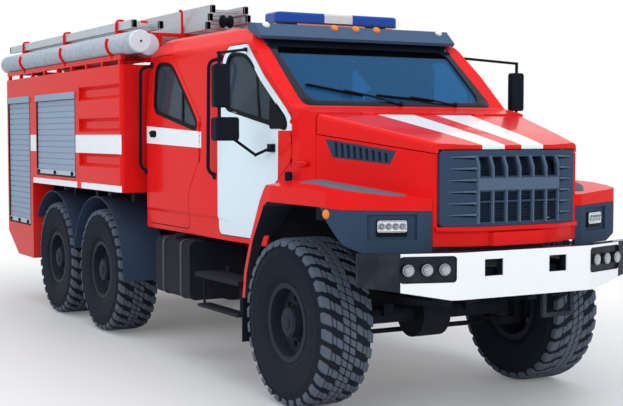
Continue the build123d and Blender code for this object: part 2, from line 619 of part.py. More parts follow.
with BuildPart() as front_lamps:
    add(headlamp.part)
    for place in LAMP_ROW:
        bumper_lamp(place, LAMP_R, Mode.ADD)
    mirror(about=Plane.XZ)

# Chassis frame: two channel rails joined by six cross-members, with spring hangers and tow eye.
RAIL = (BODY_REAR + 20, 1130 - SEAT)
BOGIE_MID = -WHEELBASE - BOGIE / 2
HANGERS = (-760, 760, BOGIE_MID)
HANGER_Z = 790
CROSS_AT = (1060, -1950, -3000, -4550, -5600, RAIL[0] + 40)
TOW_EYE_Z = (900, 950)
TOW_EYE_X = BODY_REAR - 85
TOW_EYE_R = 25
with BuildPart() as chassis_frame:
    for side in (-1, 1):
        web = (side * (FRAME_HALF - WEB), side * FRAME_HALF)
        flange = (side * (FRAME_HALF - FLANGE), side * FRAME_HALF)
        block(span(*RAIL), web, (FRAME_BOTTOM, FRAME_TOP))
        for z in (FRAME_BOTTOM, FRAME_TOP - WEB):
            block(span(*RAIL), flange, (z, z + WEB))
        for x in HANGERS:
            block(span(x - 60, x + 60), flange, (HANGER_Z, FRAME_BOTTOM))
    for x in CROSS_AT:
        block(span(x - 40, x + 40), (-FRAME_HALF + WEB, FRAME_HALF - WEB), (FRAME_BOTTOM + 40, FRAME_TOP - 40))
    block(span(TOW_EYE_X - 60, RAIL[0]), (-60, 60), TOW_EYE_Z)
    fillet(chassis_frame.edges().filter_by(Axis.Z).sort_by(Axis.X)[:2], 55)
    with Locations((fa(TOW_EYE_X), 0, TOW_EYE_Z[1])):
        Hole(TOW_EYE_R, TOW_EYE_Z[1] - TOW_EYE_Z[0])

# Axles: one driven front axle with kingpins and two rear axles with hub spindles.
PAD_TOP = 700
PINION_X = 280
PINION_Z = WHEEL_Z + 20
DIFF_R = 205
SPRING_Y = (325, 410)
KINGPIN_R = 25
# axle place, half-length of the tube, which way the pinion points
AXLES = ((FRONT_AXLE, KINGPIN_Y, -1), (MIDDLE_AXLE, 850, 1), (REAR_AXLE, 850, 1))
with BuildPart() as axles:
    for x, half, way in AXLES:
        rod((x, -half, WHEEL_Z), (x, half, WHEEL_Z), 65)
        rod((x, -120, WHEEL_Z), (x, 120, WHEEL_Z), DIFF_R - (20 if way < 0 else 0))
        rod((x + way * 100, 0, PINION_Z), (x + way * PINION_X, 0, PINION_Z), 72)
        for side in (-1, 1):
            block((x - 90, x + 90), (side * SPRING_Y[0], side * SPRING_Y[1]), (WHEEL_Z, PAD_TOP))
    for side in (-1, 1):
        with Locations((FRONT_AXLE, side * KINGPIN_Y, WHEEL_Z)):
            Cylinder(58, 170)
            Cylinder(KINGPIN_R, 300)
    for x in (MIDDLE_AXLE, REAR_AXLE):
        rod((x, -HALF_TRACK - 80, WHEEL_Z), (x, HALF_TRACK + 80, WHEEL_Z), SPINDLE_R)

# Leaf springs: bowed packs on the front axle and inverted packs across the rear pair.
FRONT_PACK = ahead([(-820, HANGER_Z - SEAT), (-820, HANGER_Z - 30), (-300, PAD_TOP + 12), (-150, PAD_TOP + SEAT),
                    (150, PAD_TOP + SEAT), (300, PAD_TOP + 12), (820, HANGER_Z - 30), (820, HANGER_Z - SEAT),
                    (400, 775), (-400, 775)])
REAR_PACK = ahead([(BOGIE_MID + u, v) for u, v in
                   [(-800, PAD_TOP + SEAT), (-800, PAD_TOP + 30), (-200, HANGER_Z - SEAT), (200, HANGER_Z - SEAT),
                    (800, PAD_TOP + 30), (800, PAD_TOP + SEAT), (500, PAD_TOP + SEAT), (200, PAD_TOP),
                    (-200, PAD_TOP), (-500, PAD_TOP + SEAT)]])
with BuildPart() as leaf_springs:
    for pack in (FRONT_PACK, REAR_PACK):
        prism(SIDE, pack, *SPRING_Y)
    mirror(about=Plane.XZ)

# Engine, gearbox, transfer case and shafts, plain but at their real places.
ENGINE_REAR = 20
GEARBOX_REAR = -900
TRANSFER = (-1910 + SEAT, -1500)
with BuildPart() as engine:
    block(span(ENGINE_REAR, 800), (-300, 300), (870, 1700))
    for x in (150, 650):
        block(span(x - 50, x + 50), (-400, 400), (FRAME_TOP + SEAT, FRAME_TOP + 40))
with BuildPart() as driveline:
    block(span(GEARBOX_REAR, ENGINE_REAR - SEAT), (-210, 210), (830, 1060))
    block(span(*TRANSFER), (-260, 260), (700, 1050))
    rod((fa(GEARBOX_REAR), 0, 930), (fa(TRANSFER[1]), 0, 930), 45)
    shaft((fa(TRANSFER[1]), 0, 760), (FRONT_AXLE - PINION_X, 0, PINION_Z), 40)
    shaft((fa(TRANSFER[0]), 0, 800), (MIDDLE_AXLE + PINION_X, 0, PINION_Z), 45)
    shaft((MIDDLE_AXLE - DIFF_R, 0, PINION_Z), (REAR_AXLE + PINION_X, 0, PINION_Z), 45)

# Knuckles and tie rod: yokes on the kingpins, each with a straight arm back to the rod.
ARM_Z = WHEEL_Z - 148
YOKE = (-KINGPIN_Y - 140, -KINGPIN_Y + 60)
PIN_R = 20
with BuildPart() as knuckle_right:
    block(span(-60, 60), YOKE, (WHEEL_Z + 88, WHEEL_Z + 148))
    block(span(-60, 60), YOKE, (ARM_Z, WHEEL_Z - 88))
    block(span(-70, 70), (YOKE[0], -KINGPIN_Y - 80), (ARM_Z, WHEEL_Z + 148))
    block(span(-STEER_ARM, -50), (-KINGPIN_Y - 20, -KINGPIN_Y + 20), (ARM_Z, ARM_Z + 40))
    rod((fa(-STEER_ARM), -KINGPIN_Y, ARM_Z - 45), (fa(-STEER_ARM), -KINGPIN_Y, ARM_Z + 40), PIN_R)
    rod((fa(0), YOKE[0], WHEEL_Z), (fa(0), -HALF_TRACK - 80, WHEEL_Z), SPINDLE_R)
    rod((fa(0), -KINGPIN_Y, ARM_Z - 10), (fa(0), -KINGPIN_Y, WHEEL_Z + 160), KINGPIN_R + FIT, Mode.SUBTRACT)
with BuildPart() as knuckle_left:
    mirror(knuckle_right.part, about=Plane.XZ)
with BuildPart() as tie_rod:
    for side in (-1, 1):
        end = (fa(-STEER_ARM), side * KINGPIN_Y)
        rod((*end, ARM_Z - 40), (*end, ARM_Z - SEAT), 36)
    rod((fa(-STEER_ARM), -KINGPIN_Y, ARM_Z - 20), (fa(-STEER_ARM), KINGPIN_Y, ARM_Z - 20), 19)
    for side in (-1, 1):
        end = (fa(-STEER_ARM), side * KINGPIN_Y)
        rod((*end, ARM_Z - 60), (*end, ARM_Z + 5), PIN_R + FIT, Mode.SUBTRACT)

# Wheels: dished steel rim with hand holes and a hub, and a many-sided tyre with block lugs.
RIM_PROFILE = [(SPINDLE_R + FIT, -75), (110, -75), (110, 45), (240, 45), (240, -168), (285, -168),
               (RIM_SEAT_R, -148), (RIM_SEAT_R, 148), (285, 168), (244, 168), (240, 65), (110, 65),
               (105, 150), (0, 155), (0, 130), (SPINDLE_R + FIT, 130)]
HAND_HOLES = 10
HOLE_CIRCLE = 172
HOLE_R = 27
TREAD_R = TYRE_R - LUG_DEPTH
SHOULDER = (45, 40)
BEAD = (145, 60)
LUG_LONG = 84
LUG_Y = (12, 176)
with BuildPart() as rim_master:
    with BuildSketch(Plane.XY):
        with BuildLine():
            Polyline(*[(r, -y) for r, y in RIM_PROFILE], close=True)
        make_face()
    revolve(axis=Axis.Y)
    with BuildSketch(Plane.XZ):
        with PolarLocations(HOLE_CIRCLE, HAND_HOLES):
            Circle(HOLE_R)
    extrude(amount=2 * HOLE_R + 66, mode=Mode.SUBTRACT)

with BuildPart() as tyre_master:
    with BuildSketch(Plane.XZ):
        RegularPolygon(TREAD_R, TYRE_SIDES, major_radius=False)
        RegularPolygon(RIM_SEAT_R + SEAT, TYRE_SIDES, major_radius=False, mode=Mode.SUBTRACT)
    extrude(amount=TYRE_WIDTH / 2, both=True)
    for end in (0, -1):
        wall = tyre_master.faces().sort_by(Axis.Y)[end]
        chamfer(wall.outer_wire().edges(), SHOULDER[0], SHOULDER[1], reference=wall)
        wall = tyre_master.faces().sort_by(Axis.Y)[end]
        chamfer(wall.inner_wires()[0].edges(), BEAD[0], BEAD[1], reference=wall)
    for i in range(TYRE_SIDES):
        side = 1 if i % 2 else -1
        turn = (i + 0.5) * 360 / TYRE_SIDES
        out = Vector(cos(radians(turn)), 0, sin(radians(turn)))
        middle = out * (TYRE_R - LUG_DEPTH) + Vector(0, side * sum(LUG_Y) / 2, 0)
        with BuildSketch(Plane(middle, x_dir=(0, 1, 0), z_dir=out), mode=Mode.PRIVATE) as lug:
            Rectangle(LUG_Y[1] - LUG_Y[0], LUG_LONG)
        extrude(lug.sketch, amount=LUG_DEPTH)
        extrude(lug.sketch, amount=-LUG_DEPTH)

wheels = {}
for axle, x in (("front", FRONT_AXLE), ("middle", MIDDLE_AXLE), ("rear", REAR_AXLE)):
    for hand, side in (("right", -1), ("left", 1)):
        place = Location((x, side * HALF_TRACK, WHEEL_Z), (0, 0, 0 if side < 0 else 180))
        for kind, master in (("rim", rim_master), ("tyre", tyre_master)):
            with BuildPart() as wheel:
                add(master.part.moved(place))
            wheels[f"{kind}_{axle}_{hand}"] = wheel

# Fuel tanks and cab steps: hung from the frame rails behind the front wheels.
with BuildPart() as fuel_tanks:
    block(span(-2480, -1740), (-1150, -500), (545, 1040))
    fillet(fuel_tanks.edges().filter_by(Axis.X), 60)
    for x in (-2400, -1900):
        block(span(x, x + 80), (-520, -FRAME_HALF - SEAT), (850, 1000))
    mirror(about=Plane.XZ)
with BuildPart() as cab_steps:
    block(span(-1520, -720), (-1200, -960), (780, 815))
    block(span(-1470, -735), (-1200, -1080), (540, 560))
    for x in (-1440, -765):
        rod((fa(x), -1150, 550), (fa(x), -1150, 800), 10)
    for x in (-1400, -850):
        block(span(x, x + 60), (-980, -FRAME_HALF - SEAT), (785, 860))
    mirror(about=Plane.XZ)

# Mud flaps: rubber sheets hung behind the fender legs.
FLAP_X = 690 + SEAT
with BuildPart() as mud_flaps:
    block(span(-FLAP_X - 12, -FLAP_X), (-1175, -1060), (360, 760))
    mirror(about=Plane.XZ)

# Fire body: subframe, ribbed water tank, hollow lockers and their shutters.
BEARERS = (BODY_FRONT - 140, TANK_REAR + 100, TANK_REAR - 600, LOWER_LOCKER + 230, BODY_REAR + 200)
with BuildPart() as body_subframe:
    for side in (-1, 1):
        block(span(BODY_REAR + 40, BODY_FRONT - 20), (side * 320, side * 420), (FRAME_TOP + SEAT, BODY_FLOOR - SEAT))
    for x in BEARERS:
        block(span(x, x + 80), (-BODY_HALF + 150, BODY_HALF - 150), (1300, BODY_FLOOR - SEAT))
GROOVES = (1680, 2020, 2330)
GROOVE_DEPTH = 40
TANK_WALL = 50
MANHOLE_R = 240
MANHOLE = (fa((BODY_FRONT + TANK_REAR) / 2), 380)
with BuildPart() as tank_body:
    block(span(TANK_REAR, BODY_FRONT), (-BODY_HALF, BODY_HALF), (BODY_FLOOR, BODY_TOP))
    fillet(tank_body.edges().filter_by(Axis.Z).group_by(Axis.X)[-1], 40)
    for z in GROOVES:
        for side in (-1, 1):
            lip = side * (BODY_HALF + 1)
            bed = side * (BODY_HALF - GROOVE_DEPTH)
            prism(ACROSS, [(lip, z - 68), (lip, z + 68), (bed, z + 34), (bed, z - 34)],
                  fa(TANK_REAR + 45), fa(BODY_FRONT - 45), 0, Mode.SUBTRACT)
    block(span(TANK_REAR + 60, BODY_FRONT - 60), (-BODY_HALF + 100, BODY_HALF - 100),
          (BODY_FLOOR + TANK_WALL, BODY_TOP - TANK_WALL), Mode.SUBTRACT)
    rod((MANHOLE[0], MANHOLE[1], BODY_TOP - 2 * TANK_WALL), (*MANHOLE, BODY_TOP + SEAT), MANHOLE_R, Mode.SUBTRACT)
with BuildPart() as tank_lid:
    rod((*MANHOLE, BODY_TOP + SEAT), (*MANHOLE, BODY_TOP + 14), MANHOLE_R + 40)
    rod((*MANHOLE, BODY_TOP + 10), (*MANHOLE, BODY_TOP + 32), MANHOLE_R - 20)

# shutter bays: rear and front edge, sill height
BAYS = ((-5720, -4370, 1487), (-6860, -5970, 900))
REAR_BAY_HALF = 520
REAR_BAY_SILL = 1450
LOWER_INNER = 560
SKIRT_Z = 540
SHUTTER_SET = 12
SHUTTER_THICK = 22
SLAT = 58
SLAT_RIB = 7
LOCKER_FRONT = TANK_REAR - SEAT
PARTITION = (-5900, -5850)
with BuildPart() as locker_body:
    block(span(BODY_REAR, LOCKER_FRONT), (-BODY_HALF, BODY_HALF), (BODY_FLOOR, BODY_TOP))
    for side in (-1, 1):
        prism(SIDE, ahead([(BODY_REAR, 790), (-6480, SKIRT_Z), (LOWER_LOCKER, SKIRT_Z), (LOWER_LOCKER, BODY_FLOOR),
                           (BODY_REAR, BODY_FLOOR)]), *sorted((side * LOWER_INNER, side * BODY_HALF)))
        block(span(BODY_REAR + LOCKER_WALL, LOWER_LOCKER - LOCKER_WALL),
              (side * (LOWER_INNER + LOCKER_WALL), side * (BODY_HALF - LOCKER_WALL)), (870, 1500), Mode.SUBTRACT)
    for x0, x1 in ((BODY_REAR + LOCKER_WALL, PARTITION[0]), (PARTITION[1], LOCKER_FRONT - LOCKER_WALL)):
        block(span(x0, x1), (-BODY_HALF + LOCKER_WALL, BODY_HALF - LOCKER_WALL),
              (BODY_FLOOR + LOCKER_WALL, BODY_TOP - LOCKER_WALL), Mode.SUBTRACT)
    for x0, x1, sill in BAYS:
        block(span(x0, x1), (-BODY_HALF - 10, BODY_HALF + 10), (sill, SHUTTER_TOP), Mode.SUBTRACT)
    block(span(BODY_REAR - 10, BODY_REAR + 100), (-REAR_BAY_HALF, REAR_BAY_HALF), (REAR_BAY_SILL, SHUTTER_TOP),
          Mode.SUBTRACT)


def shutter_profile(sill):
    """Section of a slatted curtain: (depth behind the outer face, height) round its edge."""
    count = int((SHUTTER_TOP - sill) // SLAT)
    pitch = (SHUTTER_TOP - sill - 2 * SEAT) / count
    points = [(SHUTTER_THICK, sill + SEAT)]
    for i in range(count):
        z = sill + SEAT + i * pitch
        points += [(SLAT_RIB, z), (0, z + SLAT_RIB), (0, z + pitch - SLAT_RIB)]
    return points + [(SLAT_RIB, SHUTTER_TOP - SEAT), (SHUTTER_THICK, SHUTTER_TOP - SEAT)]


HEAD_BOX = (14, 72)
with BuildPart() as roller_shutters:
    for x0, x1, sill in BAYS:
        skin = -BODY_HALF - SEAT
        prism(ACROSS, [(skin, SHUTTER_TOP + HEAD_BOX[1]), (skin - HEAD_BOX[0], SHUTTER_TOP + HEAD_BOX[1] - HEAD_BOX[0]),
                       (skin - HEAD_BOX[0], SHUTTER_TOP), (skin, SHUTTER_TOP)], fa(x0), fa(x1))
        face = -BODY_HALF + SHUTTER_SET
        prism(ACROSS, [(face + d, z) for d, z in shutter_profile(sill)], fa(x0 + SEAT), fa(x1 - SEAT))
    mirror(about=Plane.XZ)
    face = fa(BODY_REAR + SHUTTER_SET)
    prism(SIDE, [(face + d * 0.7, z) for d, z in shutter_profile(REAR_BAY_SILL)], -REAR_BAY_HALF + SEAT,
          REAR_BAY_HALF - SEAT)

# Rear mudguards: thin double arches over each pair of rear wheels, hung from the body floor.
GUARD_R = 715
GUARD_T = 10
GUARD_Y = (-1215, -800)
VALLEY_Z = 760
with BuildPart() as rear_mudguards:
    for radius, mode in ((GUARD_R + GUARD_T, Mode.ADD), (GUARD_R, Mode.SUBTRACT)):
        for x in (MIDDLE_AXLE, REAR_AXLE):
            rod((x, GUARD_Y[0], WHEEL_Z), (x, GUARD_Y[1], WHEEL_Z), radius, mode)
    block(span(-6200, LOWER_LOCKER + 40), (-FAR, 0), (0, FAR), Mode.SUBTRACT)
    block(span(-8000, 0), (-FAR, 0), (-FAR, 560), Mode.SUBTRACT)
    block((MIDDLE_AXLE - 1300, MIDDLE_AXLE - 100), (-FAR, 0), (500, VALLEY_Z), Mode.SUBTRACT)
    for x in (MIDDLE_AXLE, REAR_AXLE):
        block((x - 40, x + 40), (-1080, -1010), (WHEEL_Z + GUARD_R + 4, BODY_FLOOR - SEAT))
    mirror(about=Plane.XZ)

# Roof: edge rails on posts, ladder gallows, hose canisters and ladders.
RAIL_Z = (2615, 2660)
TUBE_R = 100
SMALL_TUBE_R = 70
GALLOWS_Z = 2900
POSTS = 9
POST_PITCH = (BODY_FRONT - BODY_REAR - 120) / (POSTS - 1)
RAIL_IN = 25
BAR = 25
UPRIGHTS = (-730, 160)
GALLOWS_AT = (BODY_FRONT - 340, (BODY_FRONT + BODY_REAR) / 2, BODY_REAR + 400)
with BuildPart() as roof_rack:
    for side in (-1, 1):
        rail = side * (BODY_HALF - RAIL_IN)
        block(span(BODY_REAR + 10, BODY_FRONT - 10), (rail - 20, rail + 20), RAIL_Z)
        for i in range(POSTS):
            x = BODY_FRONT - 60 - i * POST_PITCH
            block(span(x - 18, x + 18), (rail - 18, rail + 18), (BODY_TOP + SEAT, RAIL_Z[0] + 10))
    for x in GALLOWS_AT:
        block(span(x - BAR, x + BAR), (-BODY_HALF + RAIL_IN, BODY_HALF - RAIL_IN), RAIL_Z)
        for y in UPRIGHTS:
            block(span(x - BAR, x + BAR), (y - BAR, y + BAR), (RAIL_Z[0], GALLOWS_Z))
        block(span(x - BAR, x + BAR), (-BODY_HALF + 80, UPRIGHTS[1] + BAR), (GALLOWS_Z - 35, GALLOWS_Z))
CANISTER_Y = BODY_HALF - 65
# rear end, front end, place across, radius
CANISTERS = ((BODY_REAR - 120, BODY_FRONT + 340, -CANISTER_Y, TUBE_R),
             (BODY_REAR - 100, BODY_FRONT - 30, -CANISTER_Y + 225, TUBE_R),
             (BODY_REAR - 120, BODY_FRONT + 340, CANISTER_Y, TUBE_R),
             (BODY_REAR + 300, BODY_FRONT + 40, -600, SMALL_TUBE_R))
with BuildPart() as hose_canisters:
    for x0, x1, y, r in CANISTERS:
        z = RAIL_Z[1] + SEAT + r
        rod((fa(x0), y, z), (fa(x1), y, z), r)
# rear end, front end, right rail, left rail, sections stacked
LADDERS = ((BODY_REAR - 200, BODY_FRONT + 60, -BODY_HALF + 100, -BODY_HALF + 400, 1),
           (BODY_REAR - 300, BODY_FRONT + 210, -480, 0, 3))
STILE = (40, 78)
RUNGS = 12
with BuildPart() as ladders:
    for x0, x1, y0, y1, stack in LADDERS:
        for level in range(stack):
            low = GALLOWS_Z + SEAT + level * STILE[1]
            inset = level * 25
            for y in (y0 + inset, y1 - inset - STILE[0]):
                block(span(x0, x1), (y, y + STILE[0]), (low, low + STILE[1]))
            for i in range(RUNGS):
                x = x0 + 180 + i * (x1 - x0 - 360) / (RUNGS - 1)
                block(span(x - 14, x + 14), (y0 + inset + 20, y1 - inset - 20), (low + 25, low + 53))

# Rear: light-alloy tread plate carried by two arms, and a lamp cluster at each corner.
with BuildPart() as rear_step:
    block(span(BODY_REAR - 30, BODY_REAR + 150), (-540, 540), (600, 640))
    for y in (-400, 340):
        block(span(BODY_REAR + 60, BODY_REAR + 120), (y, y + 60), (630, FRAME_BOTTOM - SEAT))
with BuildPart() as tail_lamps:
    block(span(BODY_REAR - 40, BODY_REAR - SEAT), (-BODY_HALF + 70, -BODY_HALF + 430), (960, 1080))
    fillet(tail_lamps.edges().filter_by(Axis.X), 20)
    mirror(about=Plane.XZ)

fixed = {"chassis_frame": chassis_frame, "axles": axles, "leaf_springs": leaf_springs, "engine": engine,
         "driveline": driveline, "radiator": radiator, "bumper": bumper, "front_lamps": front_lamps,
         "cab_shell": cab_shell, "windscreen": windscreen, "seats": seats, "dashboard": dashboard,
         "sun_visor": sun_visor, "light_bar": light_bar, "nose_panel": nose_panel, "side_vents": side_vents,
         "grille": grille, "fenders": fenders, "aprons": aprons, "cab_steps": cab_steps,
         "mud_flaps": mud_flaps, "fuel_tanks": fuel_tanks, "body_subframe": body_subframe,
         "tank_body": tank_body, "tank_lid": tank_lid, "locker_body": locker_body, "roller_shutters": roller_shutters,
         "rear_mudguards": rear_mudguards, "roof_rack": roof_rack, "hose_canisters": hose_canisters,
         "ladders": ladders, "rear_step": rear_step, "tail_lamps": tail_lamps}
moving = {"hood": hood, "steering_wheel": steering_wheel, "knuckle_right": knuckle_right,
          "knuckle_left": knuckle_left, "tie_rod": tie_rod, "mirror_right": mirror_right,
          "mirror_left": mirror_left, **doors, **wheels}
for label, piece in {**fixed, **moving}.items():
    piece.part.label = label
    export_step(piece.part, f"parts/{label}.step")
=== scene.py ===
from math import pi, radians

import bmesh
import bpy
import numpy as np
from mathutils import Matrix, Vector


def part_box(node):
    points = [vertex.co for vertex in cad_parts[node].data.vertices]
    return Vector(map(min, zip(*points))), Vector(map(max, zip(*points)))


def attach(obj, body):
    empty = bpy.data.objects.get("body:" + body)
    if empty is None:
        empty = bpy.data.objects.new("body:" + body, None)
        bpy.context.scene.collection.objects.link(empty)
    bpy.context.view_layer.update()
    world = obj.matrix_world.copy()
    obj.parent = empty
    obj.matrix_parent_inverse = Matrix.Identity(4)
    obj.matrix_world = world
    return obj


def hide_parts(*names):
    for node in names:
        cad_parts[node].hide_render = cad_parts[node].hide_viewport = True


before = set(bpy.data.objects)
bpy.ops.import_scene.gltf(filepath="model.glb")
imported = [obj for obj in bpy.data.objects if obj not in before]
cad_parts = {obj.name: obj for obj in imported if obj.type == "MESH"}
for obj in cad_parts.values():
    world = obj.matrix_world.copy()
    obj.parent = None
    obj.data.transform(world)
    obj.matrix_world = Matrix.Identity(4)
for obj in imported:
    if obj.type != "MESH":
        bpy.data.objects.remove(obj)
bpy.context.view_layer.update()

# Studio: a pale floor that fades into a white backdrop, soft panels overhead and at the sides,
# and the camera low off the lorry's right front corner.
image_width = 623
focal_length = 1207.87
sensor_width = 36.0
camera_place = (10.467, -5.159, 1.922)
camera_heading = 150.681
camera_dip = 3.218
quarter_turn = 90
camera = bpy.data.objects.new("camera", bpy.data.cameras.new("camera"))
camera.data.sensor_width = sensor_width
camera.data.sensor_fit = "HORIZONTAL"
camera.data.lens = sensor_width * focal_length / image_width
camera.location = camera_place
camera.rotation_euler = (radians(quarter_turn - camera_dip), 0, radians(camera_heading - quarter_turn))
bpy.context.collection.objects.link(camera)
bpy.context.scene.camera = camera
bpy.context.scene.view_settings.view_transform = "Standard"

# name, place, power, width, depth
panels = (("overhead", (1.5, -1.5, 9.0), 560, 13, 9),
          ("right_side", (4.5, -11.5, 5.0), 480, 11, 6),
          ("front", (14.0, 2.0, 4.5), 500, 8, 6),
          ("left_side", (-3.0, 11.0, 6.0), 300, 9, 5))
panel_aim = np.array((0.8, 0.0, 1.3))
for name, place, power, width, depth in panels:
    lamp = bpy.data.lights.new(name, "AREA")
    lamp.shape = "RECTANGLE"
    lamp.size = width
    lamp.size_y = depth
    lamp.energy = power
    panel = bpy.data.objects.new(name, lamp)
    panel.location = place
    panel.visible_glossy = False
    aim = panel_aim - np.array(place)
    panel.rotation_euler = (np.arctan2(np.hypot(aim[0], aim[1]), -aim[2]), 0, np.arctan2(-aim[0], aim[1]))
    bpy.context.collection.objects.link(panel)


def surface(name, *grids, close_u=False, close_v=False, caps=False, crease=35):
    """One mesh over any number of point grids, with a quad between each four neighbours.

    A grid is rows by columns of points, or a stack of such grids. close_u joins the last row to the
    first, close_v the last column to the first, and caps closes the first and the last row.
    """
    places = []
    faces = []
    base = 0
    for grid in grids:
        stack = grid.reshape((-1,) + grid.shape[-3:])
        count, rows, cols = stack.shape[:3]
        index = np.arange(rows * cols).reshape(rows, cols)
        rings = (index[0], index[-1]) if caps else ()
        if close_u:
            index = np.vstack((index, index[:1]))
        if close_v:
            index = np.hstack((index, index[:, :1]))
        corners = (index[:-1, :-1], index[:-1, 1:], index[1:, 1:], index[1:, :-1])
        quads = np.stack(corners, axis=-1).reshape(-1, 4)
        shift = base + np.arange(count) * rows * cols
        faces += (quads[None] + shift[:, None, None]).reshape(-1, 4).tolist()
        for ring in rings:
            faces += (ring[None] + shift[:, None]).tolist()
        places.append(stack.reshape(-1, 3))
        base += count * rows * cols
    mesh = bpy.data.meshes.new(name)
    mesh.from_pydata(np.vstack(places), [], faces)
    outward = bmesh.new()
    outward.from_mesh(mesh)
    bmesh.ops.recalc_face_normals(outward, faces=outward.faces)
    outward.to_mesh(mesh)
    outward.free()
    mesh.shade_smooth()
    mesh.set_sharp_from_angle(angle=radians(crease))
    piece = bpy.data.objects.new(name, mesh)
    bpy.context.collection.objects.link(piece)
    return piece


def add_node(tree, kind, **settings):
    """New shader node of one kind, with its own settings."""
    node = tree.nodes.new("ShaderNode" + kind)
    for setting, value in settings.items():
        setattr(node, setting, value)
    return node


def joined(tree, operation, first, second):
    """Socket worked out from two others by one operation of arithmetic."""
    node = add_node(tree, "Math", operation=operation)
    tree.links.new(first, node.inputs[0])
    tree.links.new(second, node.inputs[1])
    return node.outputs[0]


def seen_rays(tree):
    """1 for rays from the camera, from mirrors and through glass; 0 for rays that only carry light."""
    path = add_node(tree, "LightPath").outputs
    seen = joined(tree, "MAXIMUM", path["Is Camera Ray"], path["Is Glossy Ray"])
    return joined(tree, "MAXIMUM", seen, path["Is Transmission Ray"])


floor_half = 90.0
floor_grey = (0.72, 0.73, 0.75, 1)
floor_rough = 0.55
# share of each axis in the distance that the fade goes by: along the lorry, across it, up
fade_shares = (0.62, 1.0, 0.0)
fade_start = 2.2
fade_end = 5.5
fade_least = 0.12
ends = np.array((-floor_half, floor_half))
floor = surface("floor", np.stack(np.meshgrid(ends, ends, (0.0,), indexing="ij"), axis=-1).reshape(2, 2, 3))
floor_paint = bpy.data.materials.new("studio_floor")
floor_paint.use_nodes = True
tree = floor_paint.node_tree
shader = tree.nodes["Principled BSDF"]
shader.inputs["Base Color"].default_value = floor_grey
shader.inputs["Roughness"].default_value = floor_rough
backdrop = add_node(tree, "Emission")
span_of = add_node(tree, "VectorMath", operation="MULTIPLY")
span_of.inputs[1].default_value = fade_shares
tree.links.new(add_node(tree, "TexCoord").outputs["Object"], span_of.inputs[0])
reach = add_node(tree, "VectorMath", operation="LENGTH")
tree.links.new(span_of.outputs[0], reach.inputs[0])
fade = add_node(tree, "MapRange", interpolation_type="SMOOTHSTEP")
fade.inputs["From Min"].default_value = fade_start
fade.inputs["From Max"].default_value = fade_end
fade.inputs["To Min"].default_value = fade_least
tree.links.new(reach.outputs["Value"], fade.inputs["Value"])
mixed = add_node(tree, "MixShader")
tree.links.new(joined(tree, "MULTIPLY", fade.outputs[0], seen_rays(tree)), mixed.inputs[0])
tree.links.new(shader.outputs[0], mixed.inputs[1])
tree.links.new(backdrop.outputs[0], mixed.inputs[2])
tree.links.new(mixed.outputs[0], tree.nodes["Material Output"].inputs["Surface"])
floor.data.materials.append(floor_paint)

sky_tint = (0.86, 0.93, 1.0, 1)
sky_strength = 0.55
world = bpy.data.worlds.new("studio")
world.use_nodes = True
sky = world.node_tree
soft_light = sky.nodes["Background"]
soft_light.inputs["Color"].default_value = sky_tint
soft_light.inputs["Strength"].default_value = sky_strength
white_screen = add_node(sky, "Background")
white_screen.inputs["Color"].default_value = (1, 1, 1, 1)
choose = add_node(sky, "MixShader")
sky.links.new(seen_rays(sky), choose.inputs[0])
sky.links.new(soft_light.outputs[0], choose.inputs[1])
sky.links.new(white_screen.outputs[0], choose.inputs[2])
sky.links.new(choose.outputs[0], sky.nodes["World Output"].inputs["Surface"])
bpy.context.scene.world = world

# Chassis: channel rails, axles, springs and driveline, in satin black paint over steel with road
# dust on it, and the bare cast engine and radiator core that show from below and through the grille.
dust = (0.30, 0.27, 0.24, 1)
dust_gain = 2
dust_none_above = 1.3
dust_full_below = 0.3
coat_rough = 0.04
coat_ior = 1.3
paint_ior = 1.15
cloud_detail = 5
speck_tone = 0.6
speck_range = (0.45, 0.8)
gloss_range = (0.3, 0.7)
least_rough = 0.02
edge_samples = 4
grain_depth = 0.004
rib_pitch_to_depth = 3
# scale at which the wave texture makes one band a metre
wave_scale = pi / 10
# sockets of the colour Mix node, which has no single names for them
mix_base = 6
mix_top = 7
mix_result = 2


def product(tree, first, second):
    """Product of two sockets, where the first may still be missing."""
    return second if first is None else joined(tree, "MULTIPLY", first, second)


def inside(tree, place, outline, axes):
    """Mask that is 1 inside a convex outline: the product of one step per edge, each a dot product."""
    mask = None
    count = len(outline)
    for i in range(count):
        a = outline[i]
        b = outline[(i + 1) % count]
        normal = [0.0, 0.0, 0.0]
        normal[axes[0]] = a[1] - b[1]
        normal[axes[1]] = b[0] - a[0]
        beyond = add_node(tree, "VectorMath", operation="DOT_PRODUCT")
        beyond.inputs[1].default_value = normal
        tree.links.new(place, beyond.inputs[0])
        step = add_node(tree, "Math", operation="GREATER_THAN")
        step.inputs[1].default_value = normal[axes[0]] * a[0] + normal[axes[1]] * a[1]
        tree.links.new(beyond.outputs["Value"], step.inputs[0])
        mask = product(tree, mask, step.outputs[0])
    return mask


def blend_colour(tree, mask, base, top):
    """Colour that goes from base to top as the mask goes from 0 to 1; base may be a socket."""
    mix = add_node(tree, "Mix", data_type="RGBA")
    if isinstance(base, tuple):
        mix.inputs[mix_base].default_value = base
    else:
        tree.links.new(base, mix.inputs[mix_base])
    mix.inputs[mix_top].default_value = top
    tree.links.new(mask, mix.inputs[0])
    return mix.outputs[mix_result]


def ramp(tree, value, low, high, first, last):
    """Value carried from the range low to high into the range first to last, and held at the ends."""
    carry = add_node(tree, "MapRange")
    carry.inputs["From Min"].default_value = low
    carry.inputs["From Max"].default_value = high
    carry.inputs["To Min"].default_value = first
    carry.inputs["To Max"].default_value = last
    tree.links.new(value, carry.inputs["Value"])
    return carry.outputs[0]


